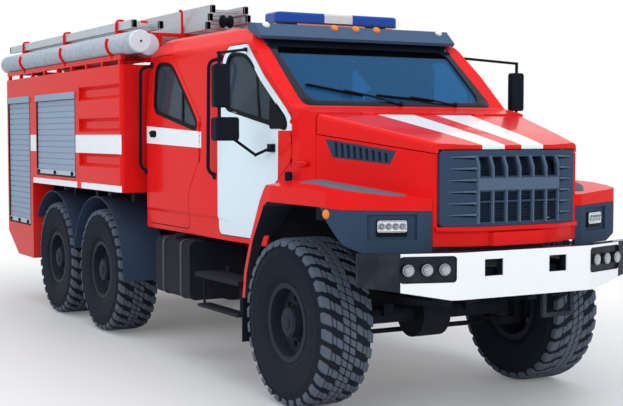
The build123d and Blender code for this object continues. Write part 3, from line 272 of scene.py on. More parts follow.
def finish_of(name, base, rough, films=(), metal=0.0, coat=0.0, grain=40.0, bump=0.02, spread=0.08,
              dusty=0.12, speck=0.12, stretch=(1, 1, 1), ribs=None, edge=0.006, shine=0.2):
    """Finish worked out from the place on the piece: films laid on the base, clouds of noise that
    darken it and vary its gloss, dust that thickens towards the ground, ribs across one axis, and
    edges rounded over. A film is a colour and the convex outlines whose common part it covers.
    """
    material = bpy.data.materials.new(name)
    material.use_nodes = True
    tree = material.node_tree
    shader = tree.nodes["Principled BSDF"]
    shader.inputs["Metallic"].default_value = metal
    shader.inputs["Specular IOR Level"].default_value = shine
    shader.inputs["Coat Weight"].default_value = coat
    shader.inputs["Coat Roughness"].default_value = coat_rough
    shader.inputs["Coat IOR"].default_value = coat_ior
    shader.inputs["IOR"].default_value = paint_ior
    where = add_node(tree, "TexCoord").outputs["Object"]
    colour = base
    for film, *outlines in films:
        mask = None
        for outline, axes in outlines:
            mask = product(tree, mask, inside(tree, where, outline, axes))
        colour = blend_colour(tree, mask, colour, film)
    drawn = add_node(tree, "Mapping")
    drawn.inputs["Scale"].default_value = stretch
    tree.links.new(where, drawn.inputs["Vector"])
    cloud = add_node(tree, "TexNoise")
    cloud.inputs["Scale"].default_value = grain
    cloud.inputs["Detail"].default_value = cloud_detail
    tree.links.new(drawn.outputs[0], cloud.inputs["Vector"])
    shade = ramp(tree, cloud.outputs["Fac"], *speck_range, 0.0, speck)
    colour = blend_colour(tree, shade, colour, tuple(speck_tone * part for part in base[:3]) + (1,))
    height = add_node(tree, "SeparateXYZ")
    tree.links.new(where, height.inputs[0])
    low = ramp(tree, height.outputs["Z"], dust_none_above, dust_full_below, 0.0, dust_gain * dusty)
    colour = blend_colour(tree, product(tree, low, cloud.outputs["Fac"]), colour, dust)
    tree.links.new(colour, shader.inputs["Base Color"])
    gloss = ramp(tree, cloud.outputs["Fac"], *gloss_range, max(rough - spread, least_rough), rough + spread)
    tree.links.new(gloss, shader.inputs["Roughness"])
    rounded = add_node(tree, "Bevel", samples=edge_samples)
    rounded.inputs["Radius"].default_value = edge
    normal = rounded.outputs["Normal"]
    reliefs = [(cloud.outputs["Fac"], bump, grain_depth)]
    if ribs:
        axis, pitch, strength = ribs
        wave = add_node(tree, "TexWave", wave_profile="SIN", bands_direction=axis)
        wave.inputs["Scale"].default_value = wave_scale / pitch
        tree.links.new(where, wave.inputs["Vector"])
        reliefs.append((wave.outputs["Fac"], strength, pitch / rib_pitch_to_depth))
    for relief, strength, depth in reliefs:
        ripple = add_node(tree, "Bump")
        ripple.inputs["Strength"].default_value = strength
        ripple.inputs["Distance"].default_value = depth
        tree.links.new(relief, ripple.inputs["Height"])
        tree.links.new(normal, ripple.inputs["Normal"])
        normal = ripple.outputs["Normal"]
    tree.links.new(normal, shader.inputs["Normal"])
    return material


def paint_nodes(material, *names):
    """Puts one finish into every material slot of the named CAD nodes."""
    for name in names:
        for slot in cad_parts[name].material_slots:
            slot.material = material


chassis_black = finish_of("chassis_black", base=(0.007, 0.010, 0.019, 1), rough=0.5, grain=25, bump=0.05,
                          dusty=0.06)
paint_nodes(chassis_black, "chassis_frame", "axles", "leaf_springs", "driveline", "cab_steps",
            "body_subframe", "knuckle_right", "knuckle_left", "tie_rod")
block_grey = finish_of("cast_block", base=(0.09, 0.09, 0.095, 1), rough=0.6, grain=60, bump=0.2)
paint_nodes(block_grey, "engine")
# ribs: axis, pitch, strength
core_grey = finish_of("radiator_core", base=(0.05, 0.052, 0.055, 1), rough=0.5, metal=0.5, grain=90,
                      ribs=("Z", 0.008, 0.6))
paint_nodes(core_grey, "radiator")

# Tyres: moulded rubber carcass with a broad off-road tread of staggered square blocks in slanting
# rows, long lugs on the shoulders, and two raised rings on each smooth side wall.
ALONG = (1, 0, 0)
ACROSS = (0, 1, 0)
UP = (0, 0, 1)
HANDS = ((-1, "right"), (1, "left"))
rubber = finish_of("side_wall_rubber", base=(0.008, 0.012, 0.022, 1), rough=0.6, grain=60, bump=0.06,
                   dusty=0.03)
block_rubber = finish_of("tread_rubber", base=(0.085, 0.110, 0.150, 1), rough=0.8, grain=130, bump=0.3,
                         dusty=0.08, speck=0.5)
paint_nodes(rubber, "mud_flaps")
tyre_low, tyre_high = (np.array(corner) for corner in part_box("tyre_front_right"))
front_axle = (tyre_low[0] + tyre_high[0]) / 2
tyre_r = (tyre_high[2] - tyre_low[2]) / 2
carcass_sides = 96
# half of the carcass section from the rim to the crown: radius, distance from the middle
carcass_half = np.array(((0.262, 0.140), (0.270, 0.158), (0.292, 0.168), (0.318, 0.180), (0.330, 0.188),
                         (0.338, 0.188), (0.350, 0.189), (0.385, 0.197), (0.425, 0.1985), (0.466, 0.197),
                         (0.474, 0.199), (0.486, 0.199), (0.494, 0.195), (0.525, 0.189), (0.556, 0.182),
                         (0.580, 0.172), (0.587, 0.150), (0.585, 0.060)))
tread_depth = 0.022
pitches = 32
row_slant = 0.62
# one slanting row of blocks from a shoulder inwards: place across, length round, width
block_row = np.array(((0.166, 0.080, 0.056), (0.1210, 0.058, 0.026), (0.0785, 0.062, 0.050),
                      (0.026, 0.049, 0.045), (-0.026, 0.049, 0.045)))
# corners of a block, in halves of its length and width
block_corners = np.array(((-1, -0.7), (-0.8, -1), (0.8, -1), (1, -0.7),
                          (1, 0.7), (0.8, 1), (-0.8, 1), (-1, 0.7)))
# rings of a block: share of its size, share of its height
block_levels = np.array(((1.0, 0.0), (1.0, 0.78), (0.84, 1.0)))
# where the top and the foot of the blocks start to fall off towards the side wall, and how fast
top_line = 0.12
top_fall = 3.2
foot_line = 0.15
foot_fall = 18
foot_sink = 0.004
ground_clear = 0.0008
nearly_upright = 0.9


def turned(profile, centre, axis, count=64):
    """Rings of a turned piece: each (radius, height) of the profile becomes a circle about the axis."""
    along = np.array(axis, float) / np.linalg.norm(axis)
    side = np.cross(along, UP if abs(along[2]) < nearly_upright else ALONG)
    side /= np.linalg.norm(side)
    angle = np.linspace(0, 2 * pi, count, endpoint=False)[:, None]
    round_about = np.cos(angle) * side + np.sin(angle) * np.cross(along, side)
    radius, height = np.array(profile, float).T
    return np.array(centre, float) + radius[:, None, None] * round_about + height[:, None, None] * along


def tread_blocks(middle, hand):
    """All blocks of one tyre: rings of eight corners at the foot, the top edge and the drawn-in top face.

    A corner's place across and round the tyre is wrapped onto the crown, whose radius falls off with
    the square of the distance past the shoulder line; slanted rows come from each shoulder in turn.
    """
    blocks = np.vstack((block_row, block_row * (-1, 1, 1)))
    start = np.repeat((0.0, 0.5), len(block_row))
    across, length, width = (column[None, :, None, None] for column in blocks.T)
    turn = (np.arange(pitches)[:, None] + start) * 2 * pi / pitches
    u = block_corners[:, 0] * block_levels[:, :1] * length / 2
    y = across + block_corners[:, 1] * block_levels[:, :1] * width / 2
    foot = tyre_r - tread_depth - foot_sink - foot_fall * np.maximum(np.abs(y) - foot_line, 0) ** 2
    top = tyre_r - ground_clear - top_fall * np.maximum(np.abs(y) - top_line, 0) ** 2
    radius = foot + (top - foot) * block_levels[None, None, :, 1:]
    angle = turn[:, :, None, None] + (u + row_slant * y) / tyre_r
    parts = np.broadcast_arrays(radius * np.cos(angle), hand * y, radius * np.sin(angle))
    grid = np.stack(parts, axis=-1)
    return (middle + grid).reshape((-1,) + grid.shape[-3:])


def made(name, grids, finish, body, looped=False):
    """New piece from closed rings, capped at its ends or looped back to its first ring, with its
    finish and the body that carries it."""
    piece = surface(name, *grids, close_u=looped, close_v=True, caps=not looped)
    piece.data.materials.append(finish)
    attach(piece, body)
    return piece


carcass = np.vstack((carcass_half, carcass_half[::-1] * (1, -1)))
wheel_names = [(axle, hand, side) for axle in ("front", "middle", "rear") for side, hand in HANDS]
wheel_middle = {}
for axle, hand, side in wheel_names:
    low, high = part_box(f"tyre_{axle}_{hand}")
    middle = (np.array(low) + np.array(high)) / 2
    wheel_middle[axle, hand] = middle
    body = f"wheel_{axle}_{hand}"
    wall = made(f"tyre_wall_{axle}_{hand}", [turned(carcass, middle, ACROSS, carcass_sides)], rubber, body,
                looped=True)
    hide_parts(f"tyre_{axle}_{hand}")
    made(f"tyre_tread_{axle}_{hand}", [tread_blocks(middle, side)], block_rubber, body)

# Wheel discs: pressed steel in dark grey enamel, with ten nuts round the hub, a capped hub end with
# five bolts, and a rolled flange edge of worn steel.
wheel_grey = finish_of("wheel_enamel", base=(0.014, 0.021, 0.038, 1), rough=0.42, grain=30, bump=0.06,
                       dusty=0.05)
worn_steel = finish_of("worn_steel", base=(0.040, 0.048, 0.062, 1), rough=0.42, metal=0.4, grain=60,
                       bump=0.08, dusty=0.04)
nut_count = 10
nut_sides = 6
nut_circle = 0.131
bolt_circle = 0.072
disc_out = 0.065
hub_out = 0.157
flange_r = 0.266
flange_out = 0.160
bead_r = 0.006
flange_sides = 72
cap_sides = 48
# profiles: radius, height
nut = ((0.0135, 0.0), (0.0135, 0.014), (0.011, 0.018), (0.007, 0.018), (0.006, 0.028))
hub_bolt = ((0.009, 0.0), (0.009, 0.007), (0.007, 0.009))
hub_cap = ((0.104, 0.150), (0.106, 0.153), (0.098, 0.158), (0.090, 0.157), (0.086, 0.162), (0.050, 0.166),
           (0.044, 0.176), (0.020, 0.178))
bead_turn = np.linspace(0, 2 * pi, 8, endpoint=False)
flange = np.stack((flange_r + bead_r * np.cos(bead_turn), flange_out + bead_r * np.sin(bead_turn)), axis=1)
nut_turn = (np.arange(nut_count) + 0.5) * 2 * pi / nut_count
nut_ring = np.stack((np.cos(nut_turn), 0 * nut_turn, np.sin(nut_turn)), axis=-1)[:, None, None, :]
for axle, hand, side in wheel_names:
    middle = wheel_middle[axle, hand]
    body = f"wheel_{axle}_{hand}"
    out = np.array((0, side, 0))
    paint_nodes(wheel_grey, f"rim_{axle}_{hand}")
    made(f"rim_flange_{axle}_{hand}", [turned(flange, middle, out, flange_sides)], worn_steel, body,
         looped=True)
    nuts = turned(nut, middle + disc_out * out, out, nut_sides)[None] + nut_circle * nut_ring
    bolts = turned(hub_bolt, middle + hub_out * out, out, nut_sides)[None] + bolt_circle * nut_ring[::2]
    made(f"hub_fittings_{axle}_{hand}", [nuts, bolts], worn_steel, body)
    made(f"hub_cap_{axle}_{hand}", [turned(hub_cap, middle, out, cap_sides)], wheel_grey, body)

# Fuel tanks and steps: folded sheet tanks in black held by two steel straps each, a filler cap on
# top, and steps with raised grip bars pressed into their treads.
paint_nodes(chassis_black, "fuel_tanks")
tank_low, tank_high = (np.array(corner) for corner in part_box("fuel_tanks"))
tank_inner = 0.5
tank_middle = 0.825
strap_height = 0.495
strap_level = 0.7925
strap_half = 0.022
strap_places = (-2.30, -1.92)
# section of a strap: share of its half width, lift off the tank
strap_section = np.array(((-1, -0.004), (-1, 0.004), (1, 0.004), (1, -0.004)))
filler_place = (-2.11, 1.06, 1.036)
filler_sides = 40
# profile: radius, height
filler = ((0.055, 0.0), (0.055, 0.012), (0.062, 0.012), (0.062, 0.034), (0.054, 0.040))
# treads: rear and front end from the front axle, outer and inner edge, height of the plate
treads = ((-1.50, -0.74, 1.19, 1.05, 0.815), (-1.45, -0.755, 1.19, 1.09, 0.560))
grip_count = 20
grip_width = 0.018
grip_corner = 0.008
# levels of a plate: how far the outline is drawn in, height
grip_levels = ((0, 0), (0.002, 0.004))
corner_share = 0.48
sharpest_square = 0.2


def softened(corners, radius, steps=6, closed=True):
    """Outline with each corner B turned into a curve: (1-t)^2 A + 2t(1-t) B + t^2 C, where A and C
    lie a radius, or just under half a side, from B along its two sides."""
    corners = np.array(corners, float)
    to_last = np.roll(corners, 1, axis=0) - corners
    to_next = np.roll(corners, -1, axis=0) - corners
    points = []
    for arm in (to_last, to_next):
        length = np.linalg.norm(arm, axis=1, keepdims=True)
        reach = np.minimum(np.reshape(radius, (-1, 1)), corner_share * length)
        points.append((corners + arm / length * reach)[:, None])
    t = np.linspace(0, 1, steps)[None, :, None]
    curve = (1 - t) ** 2 * points[0] + 2 * t * (1 - t) * corners[:, None] + t ** 2 * points[1]
    if closed:
        return curve.reshape(-1, corners.shape[1])
    inner = curve[1:-1].reshape(-1, corners.shape[1])
    return np.vstack((corners[:1], inner, corners[-1:]))


def drawn_in(outline, amount):
    """Closed outline moved inwards: a corner goes along the sum of its edge normals, lengthened so
    that both edges move by the same amount."""
    normals = []
    for edge in (outline - np.roll(outline, 1, axis=0), np.roll(outline, -1, axis=0) - outline):
        turned_left = np.stack((-edge[:, 1], edge[:, 0]), axis=1)
        normals.append(turned_left / np.linalg.norm(turned_left, axis=1, keepdims=True))
    square = 1 + np.sum(normals[0] * normals[1], axis=1, keepdims=True)
    return outline + amount * (normals[0] + normals[1]) / np.maximum(square, sharpest_square)


def rectangle(width, height, radius):
    """Rounded rectangle about the origin, counterclockwise."""
    w = width / 2
    h = height / 2
    return softened(((-w, -h), (w, -h), (w, h), (-w, h)), radius)


def plate(outline, levels, centre, along, up):
    """Rings of a moulded plate: its outline drawn in by each level's inset, lifted by its height.

    along and up are the directions of the outline's two axes; the plate grows along their cross.
    """
    along = np.array(along, float) / np.linalg.norm(along)
    up = np.array(up, float) / np.linalg.norm(up)
    out = np.cross(along, up)
    rings = [drawn_in(outline, inset) @ np.stack((along, up)) + height * out for inset, height in levels]
    return np.array(centre, float) + np.array(rings)


tank_height = tank_high[2] - tank_low[2]
tank_outline = rectangle(width=tank_high[1] - tank_inner, height=tank_height, radius=0.06)
tank_outline[:, 1] *= strap_height / tank_height
strap_rings = np.stack([drawn_in(tank_outline, -lift) for _, lift in strap_section], axis=1)
for side, hand in HANDS:
    straps = []
    for x in strap_places:
        strap = np.empty(strap_rings.shape[:2] + (3,))
        strap[..., 0] = front_axle + x + strap_half * strap_section[:, 0]
        strap[..., 1] = side * tank_middle + strap_rings[..., 0]
        strap[..., 2] = strap_level + strap_rings[..., 1]
        straps.append(strap)
    made(f"tank_straps_{hand}", straps, worn_steel, "chassis", looped=True)
    cap_centre = np.array(filler_place) * (1, side, 1) + (front_axle, 0, 0)
    made(f"tank_filler_{hand}", [turned(filler, cap_centre, UP, filler_sides)], chassis_black, "chassis")
    grips = []
    for rear, front, outer, inner, z in treads:
        places = np.linspace(rear, front, grip_count)[:, None, None, None]
        bar = plate(rectangle(grip_width, outer - inner, grip_corner), grip_levels,
                    (front_axle, side * (outer + inner) / 2, z), ALONG, ACROSS)
        grips.append(bar[None] + places * np.array(ALONG))
    made(f"step_grips_{hand}", grips, worn_steel, "chassis")

# Cab: pressed steel shell in red gloss with a dark trimmed inside, four doors cut from its skin,
# white reflective film on the front doors and a white band across the rear ones. Dark grey is also
# painted as shade inside the front wheel arch and as the sun visor's shadow on the cab's header.
SIDE_VIEW = (0, 2)
PLAN_VIEW = (0, 1)
FRONT_VIEW = (1, 2)
paint_red = (0.72, 0.012, 0.012, 1)
film_white = (0.80, 0.84, 0.87, 1)
door_white = (0.67, 0.79, 0.86, 1)
# dark grey of the cab's inside trim and the light bar's foot, also laid as painted shade in the wheel arches,
# under the visor and on the nose's and hood's inner faces
trim_and_shade_grey = (0.018, 0.024, 0.034, 1)


def field(u_low, u_high, v_low, v_high):
    """Rectangle between two places on each axis of a view, counterclockwise."""
    return ((u_low, v_low), (u_high, v_low), (u_high, v_high), (u_low, v_high))


def ahead(*outline):
    """Outline points given from the front axle, moved into the frame."""
    return tuple((front_axle + u, v) for u, v in outline)


def both_hands(outline):
    """Right half of an outline that is alike on both sides of the lorry, closed by its mirror image."""
    return tuple((-v, w) for v, w in outline) + tuple(reversed(outline))


def lacquer(name, films=(), base=paint_red, rough=0.24, coat=0.15, speck=0.04):
    """Gloss paint: an even, fine finish under a thin clear coat, with any films laid on it."""
    return finish_of(name, base, rough, films, coat=coat, grain=6, speck=speck, bump=0.003, spread=0.03)


room = ((ahead((-2.965, 1.11), (-0.66, 1.11), (-0.31, 1.46), (-0.31, 2.07), (-0.93, 2.595), (-1.08, 2.722),
               (-1.5, 2.755), (-2.84, 2.755), (-2.965, 2.66)), SIDE_VIEW),
        (ahead((-2.98, -1.028), (-1.42, -1.028), (-0.31, -0.97), (-0.31, 0.97), (-1.42, 1.028),
               (-2.98, 1.028)), PLAN_VIEW),
        (both_hands(((0.83, 2.765), (0.963, 2.64), (1.028, 1.96), (1.02, 1.09))), FRONT_VIEW))
between_sides = room[1]
inside_trim = (trim_and_shade_grey, *room)
rear_door_band = ahead((-2.99, 1.85), (-1.74, 1.815), (-1.74, 1.95), (-2.99, 2.005))
front_door_red = ahead((-0.475, 1.1), (0.2, 1.1), (0.2, 1.955), (-0.462, 1.955))
# painted shade: dark grey on the toe board and the arch side, inside the front wheel arch
toe_board_shade = ahead((-0.66, 1.0), (0.3, 1.0), (0.3, 1.46), (-0.24, 1.46))
arch_side_shade = ahead(*field(-0.80, 0.3, 0.95, 1.46))
# painted shadow: dark grey on the cab's header where the sun visor shades it, at the side and the front
visor_shadow_side = ahead(*field(-1.02, -0.80, 2.60, 2.74))
visor_shadow_front = both_hands(((0.86, 2.80), (0.87, 2.50)))
cab_paint = lacquer("cab_lacquer", [(film_white, (rear_door_band, SIDE_VIEW)),
                                    inside_trim,
                                    (trim_and_shade_grey, (toe_board_shade, SIDE_VIEW)),
                                    (trim_and_shade_grey, (arch_side_shade, SIDE_VIEW), between_sides),
                                    (trim_and_shade_grey, (visor_shadow_side, SIDE_VIEW), (visor_shadow_front, FRONT_VIEW))])
paint_nodes(cab_paint, "cab_shell", "door_rear_right", "door_rear_left")
door_paint = lacquer("door_film", [(paint_red, (front_door_red, SIDE_VIEW)), inside_trim], base=door_white,
                     rough=0.3, speck=0.03)
paint_nodes(door_paint, "door_front_right", "door_front_left")

# Window glass and its rubber: tinted panes in black moulded seals, an upright bar across each door
# window, the black mirror corner in the front ones and a dark shade band along the windscreen's top.
seal_rubber = finish_of("seal_rubber", base=(0.010, 0.011, 0.013, 1), rough=0.5, grain=90, bump=0.04)
edge_black = finish_of("fired_black", base=(0.006, 0.010, 0.018, 1), rough=0.1, coat=0.6, grain=30, bump=0.0,
                       dusty=0.0)
side_tint = (0.17, 0.25, 0.34, 1)
screen_tint = (0.05, 0.30, 0.62, 1)
shade_tint = (0.004, 0.006, 0.010, 1)
pane_clear = 0.84
pane_ior = 1.12
smear_scale = 3.0
smear_range = (0.3, 0.7)
smear_rough = 0.035
screen_room = ahead(*field(-1.2, 0.0, -0.84, 0.84))
shade_band = ahead(*field(-1.2, 0.0, 2.555, 2.7))
# windscreen plane: its foot and head in the side view
screen_foot = np.array((front_axle - 0.285, 2.130))
screen_head = np.array((front_axle - 0.950, 2.665))
screen_out = np.array((screen_head[1] - screen_foot[1], 0, screen_foot[0] - screen_head[0]))
screen_out /= np.linalg.norm(screen_out)
# clear glass and its black edge in the front view, each with its corner radius
screen = ((-0.800, 2.165), (0.800, 2.165), (0.815, 2.630), (-0.815, 2.630))
screen_corner = 0.10
screen_edge = ((-0.868, 2.139), (0.868, 2.139), (0.852, 2.660), (-0.852, 2.660))
edge_corner = 0.07
# sections of the black edge: step inwards, rise off the glass
edge_outside = ((0, -0.006), (0, 0.001), (0.002, 0.0025))
edge_inside = ((0.010, 0.0025), (0.012, -0.012))
# door rows: name, place behind the front door
door_rows = (("front", 0.0), ("rear", -1.5))
# door window in the front door's place, from the front axle, with a radius for each corner
window = ((-0.345, 1.965), (-0.345, 2.035), (-0.990, 2.548), (-1.290, 2.568), (-1.350, 2.500),
          (-1.310, 2.135))
window_radii = (0.05, 0.06, 0.13, 0.07, 0.07, 0.09)
# section of the seal: step inwards, rise off the skin
seal_section = ((-0.017, -0.010), (-0.015, 0.003), (0.012, 0.0045), (0.017, -0.010))
# window bar: foot and head from the front axle, in the front door's place, then its section
window_bars = {"front": ((-0.745, 1.975), (-0.802, 2.395)), "rear": ((-0.650, 1.975), (-0.712, 2.325))}
bar_section = ((-0.013, -0.013), (-0.013, -0.004), (0.013, -0.004), (0.013, -0.013))
mirror_corner = ((-0.352, 1.972), (-0.352, 2.030), (-0.575, 2.208), (-0.582, 1.972))
mirror_corner_r = 0.03
mirror_corner_levels = ((0, -0.013), (0, 0.002), (-0.004, 0.005))
# cab skin: where along and how high it starts and stops narrowing, and its half-width at both
cab_taper = (-1.42, -0.17)
cab_lean = (1.96, 2.64)
cab_halves = (1.040, 0.975)


def cab_half(x, z):
    """Half-width of the cab skin: the lesser of its plan, tapering ahead of the rear door pillar,
    and its section, leaning in above the belt."""
    plan = np.interp(x - front_axle, cab_taper, cab_halves)
    section = np.interp(z, cab_lean, cab_halves)
    return np.minimum(plan, section)


def on_door(points, side, rise):
    """Points of the side view, (x, z), set on the cab skin of one side and lifted off it."""
    x, z = points[..., 0], points[..., 1]
    return np.stack((x, side * (cab_half(x, z) + rise), z), axis=-1)


def door_rings(outline, levels, side):
    """Outline in the side view, drawn in by each level's inset and lifted off the cab skin."""
    return np.array([on_door(drawn_in(outline, inset), side, rise) for inset, rise in levels])


def on_screen(points, rise):
    """Points (y, z) of the front view set on the sloping windscreen plane and lifted along its normal."""
    y, z = points[..., 0], points[..., 1]
    x = np.interp(z, (screen_foot[1], screen_head[1]), (screen_foot[0], screen_head[0]))
    place = np.stack((x, y, z), axis=-1)
    return place + np.reshape(rise, np.shape(rise) + (1,)) * screen_out


pane = bpy.data.materials.new("tinted_pane")
pane.use_nodes = True
pane_tree = pane.node_tree
pane_shader = pane_tree.nodes["Principled BSDF"]
pane_shader.inputs["Transmission Weight"].default_value = pane_clear
pane_shader.inputs["IOR"].default_value = pane_ior
pane_place = add_node(pane_tree, "TexCoord").outputs["Object"]
in_screen = inside(pane_tree, pane_place, screen_room, PLAN_VIEW)
in_shade = product(pane_tree, inside(pane_tree, pane_place, shade_band, SIDE_VIEW), in_screen)
pane_tint = blend_colour(pane_tree, in_screen, side_tint, screen_tint)
pane_tint = blend_colour(pane_tree, in_shade, pane_tint, shade_tint)
pane_tree.links.new(pane_tint, pane_shader.inputs["Base Color"])
smear = add_node(pane_tree, "TexNoise")
smear.inputs["Scale"].default_value = smear_scale
pane_tree.links.new(pane_place, smear.inputs["Vector"])
smeared = ramp(pane_tree, smear.outputs["Fac"], *smear_range, 0.0, smear_rough)
pane_tree.links.new(smeared, pane_shader.inputs["Roughness"])
paint_nodes(pane, "windscreen", *[f"glass_{row}_{hand}" for row, _ in door_rows for _, hand in HANDS])

edge_rows = [(softened(screen_edge, edge_corner), *level) for level in edge_outside]
edge_rows += [(softened(screen, screen_corner), *level) for level in edge_inside]
black_edge = np.stack([on_screen(drawn_in(outline, inset), rise) for outline, inset, rise in edge_rows],
                      axis=1)
made("windscreen_edge", [black_edge], edge_black, "chassis", looped=True)
for row, shift in door_rows:
    move = (front_axle + shift, 0)
    outline = softened(np.array(window) + move, window_radii)[::-1]
    foot, head = (np.array(end) + move for end in window_bars[row])
    for side, hand in HANDS:
        body = f"door_{row}_{hand}"
        seal = door_rings(outline, seal_section, side).swapaxes(0, 1)
        made(f"window_seal_{row}_{hand}", [seal], seal_rubber, body, looped=True)
        bar = np.array([[on_door(end + (step, 0), side, rise) for step, rise in bar_section]
                        for end in (foot, head)])
        made(f"window_bar_{row}_{hand}", [bar], seal_rubber, body)
        if row == "front":
            corner = softened(np.array(mirror_corner) + move, mirror_corner_r)
            made(f"mirror_corner_{hand}", [door_rings(corner, mirror_corner_levels, side)], seal_rubber, body)

# Wipers: two black blades lying low on the windscreen, each clipped to a pressed arm that springs
# from a spindle at the foot of the glass.
glass_set = -0.014
blade_rise = 0.014
blade_points = 12
arm_rises = np.array((0.030, 0.036, 0.020))
arm_bend = 0.08
blade_section = rectangle(width=0.010, height=0.022, radius=0.004)
arm_section = rectangle(width=0.016, height=0.010, radius=0.004)
spindle_profile = ((0.020, -0.016), (0.020, 0.020), (0.014, 0.028))
spindle_sides = 24
# blade tip and heel, joint of the arm and blade, spindle: all (across, height) on the glass
wipers = (((-0.734, 2.303), (-0.290, 2.221), (-0.445, 2.250), (-0.009, 2.150)),
          ((-0.166, 2.226), (0.330, 2.186), (0.120, 2.205), (0.500, 2.150)))


def tube(path, section, up=UP):
    """Section carried along a path: at each point it is set across the path, one axis level and the
    other towards up."""
    path = np.array(path, float)
    run = np.gradient(path, axis=0)
    run /= np.linalg.norm(run, axis=1, keepdims=True)
    across = np.cross(run, up)
    across /= np.linalg.norm(across, axis=1, keepdims=True)
    lift = np.cross(across, run)
    section = np.array(section, float)
    return path[:, None] + across[:, None] * section[None, :, :1] + lift[:, None] * section[None, :, 1:]


wiper_grids = []
spindles = []
for tip, heel, joint, spindle in wipers:
    blade = on_screen(np.linspace(tip, heel, blade_points), glass_set + blade_rise)
    wiper_grids.append(tube(blade, blade_section, screen_out))
    middle = (np.array(joint) + np.array(spindle)) / 2
    arm = on_screen(np.array((joint, middle, spindle)), arm_rises + glass_set)
    wiper_grids.append(tube(softened(arm, arm_bend, closed=False), arm_section, screen_out))
    spindles.append(turned(spindle_profile, on_screen(np.array(spindle), 0.0), screen_out, spindle_sides))
made("wipers", wiper_grids, seal_rubber, "chassis")
made("wiper_spindles", spindles, seal_rubber, "chassis")

# Door furniture: black moulded pull handles in oval cups at the rear edge of each door.
# The cup is clipped through the skin, and the pull stands across it.
black_plastic = finish_of("black_plastic", base=(0.009, 0.012, 0.020, 1), rough=0.42, grain=150, bump=0.08,
                          speck=0.2, dusty=0.02)
handle_place = (-1.298, 1.932)
cup = rectangle(width=0.150, height=0.062, radius=0.040)
cup_levels = ((0, -0.004), (0, 0.004), (0.006, 0.007), (0.012, 0.004), (0.018, 0.001))
pull = rectangle(width=0.122, height=0.024, radius=0.014) + (0, 0.008)
pull_levels = ((0.002, 0.002), (0, 0.014), (0.003, 0.019), (0.007, 0.020))
for row, shift in door_rows:
    middle = np.array(handle_place) + (front_axle + shift, 0)
    for side, hand in HANDS:
        rings = [door_rings(middle + cup, cup_levels, side), door_rings(middle + pull, pull_levels, side)]
        made(f"door_handle_{row}_{hand}", rings, black_plastic, f"door_{row}_{hand}")

# Grab rails: bent steel tube in black plastic behind each door, its ends turned in to the pillar
# and seated on round feet.
# rails: place along and height of the head, then of the foot
rails = (((-1.452, 2.505), (-1.478, 1.640)), ((-2.952, 2.520), (-2.972, 1.640)))
rail_out = 1.098
rail_r = 0.015
rail_round = 12
rail_bend = 0.055
bend_steps = 7
rail_sink = 0.01
head_rise = 0.04
bend_rise = 0.01
skin_fall = 0.04
end_fall = 0.05
rail_foot = ((0.030, 0.004), (0.030, 0.016), (0.022, 0.022))
rail_foot_sides = 24
rail_turn = np.linspace(0, 2 * pi, rail_round, endpoint=False)
rail_section = rail_r * np.stack((np.cos(rail_turn), np.sin(rail_turn)), axis=1)
for side, hand in HANDS:
    tubes = []
    feet = []
    for (head_x, head_z), (foot_x, foot_z) in rails:
        head_in = cab_half(front_axle + head_x, head_z + head_rise) - rail_sink
        foot_in = cab_half(front_axle + foot_x, foot_z - skin_fall) - rail_sink
        path = np.array(((head_x, head_in, head_z + head_rise), (head_x, rail_out, head_z + bend_rise),
                         (foot_x, rail_out, foot_z - bend_rise), (foot_x, foot_in, foot_z - end_fall)))
        path = path * (1, side, 1) + (front_axle, 0, 0)
        tubes.append(tube(softened(path, rail_bend, bend_steps, closed=False), rail_section, ALONG))
        feet += [turned(rail_foot, end, (0, side, 0), rail_foot_sides) for end in (path[0], path[-1])]
    made(f"grab_rails_{hand}", tubes + feet, black_plastic, "chassis")

# Cowl sides: an oval bulge pressed into the skin in body red, and a round black rubber stop that
# stands on the wing beside it.
plain_paint = lacquer("plain_lacquer")
bulge_place = (-0.135, 1.716)
bulge = rectangle(width=0.170, height=0.048, radius=0.08)
bulge_levels = ((0, -0.004), (0.002, 0.006), (0.007, 0.011), (0.014, 0.014))
stop_place = (-0.225, 1.030, 1.594)
stop_profile = ((0.026, -0.004), (0.028, 0.010), (0.028, 0.052), (0.024, 0.062), (0.014, 0.066))
stop_sides = 32
for side, hand in HANDS:
    rings = door_rings(np.array(bulge_place) + (front_axle, 0) + bulge, bulge_levels, side)
    made(f"cowl_bulge_{hand}", [rings], plain_paint, "chassis")
    stop_foot = np.array(stop_place) * (1, side, 1) + (front_axle, 0, 0)
    made(f"rubber_stop_{hand}", [turned(stop_profile, stop_foot, UP, stop_sides)], black_plastic, "chassis")

# Sun visor and beacon: a grained visor across the windscreen's head with three amber markers and a
# clear one at each end, and a long blue light bar with a pale middle on two feet.
visor_grain = finish_of("visor_grain", base=(0.062, 0.104, 0.175, 1), rough=0.5, grain=240, bump=0.12,
                        dusty=0.05)
paint_nodes(visor_grain, "sun_visor")
amber = finish_of("amber_lens", base=(0.85, 0.22, 0.01, 1), rough=0.15, coat=0.9, grain=200, bump=0.05,
                  dusty=0.0)
clear_lens = finish_of("clear_lens", base=(0.72, 0.76, 0.78, 1), rough=0.12, coat=0.9, grain=200, bump=0.05,
                       dusty=0.0)
visor_slope = (0.66, 0, 0.75)
marker_x = front_axle - 0.985
marker_z = 2.781
marker_sides = 32
dome_r = 0.030
dome_rise = 0.020
dome_power = 0.6
dome_turn = np.linspace(0, 1.45, 8)
dome = np.stack((dome_r * np.cos(dome_turn) ** dome_power, dome_rise * np.sin(dome_turn)), axis=1)
marker_profile = ((0.034, -0.010), (0.034, 0.004), *dome)
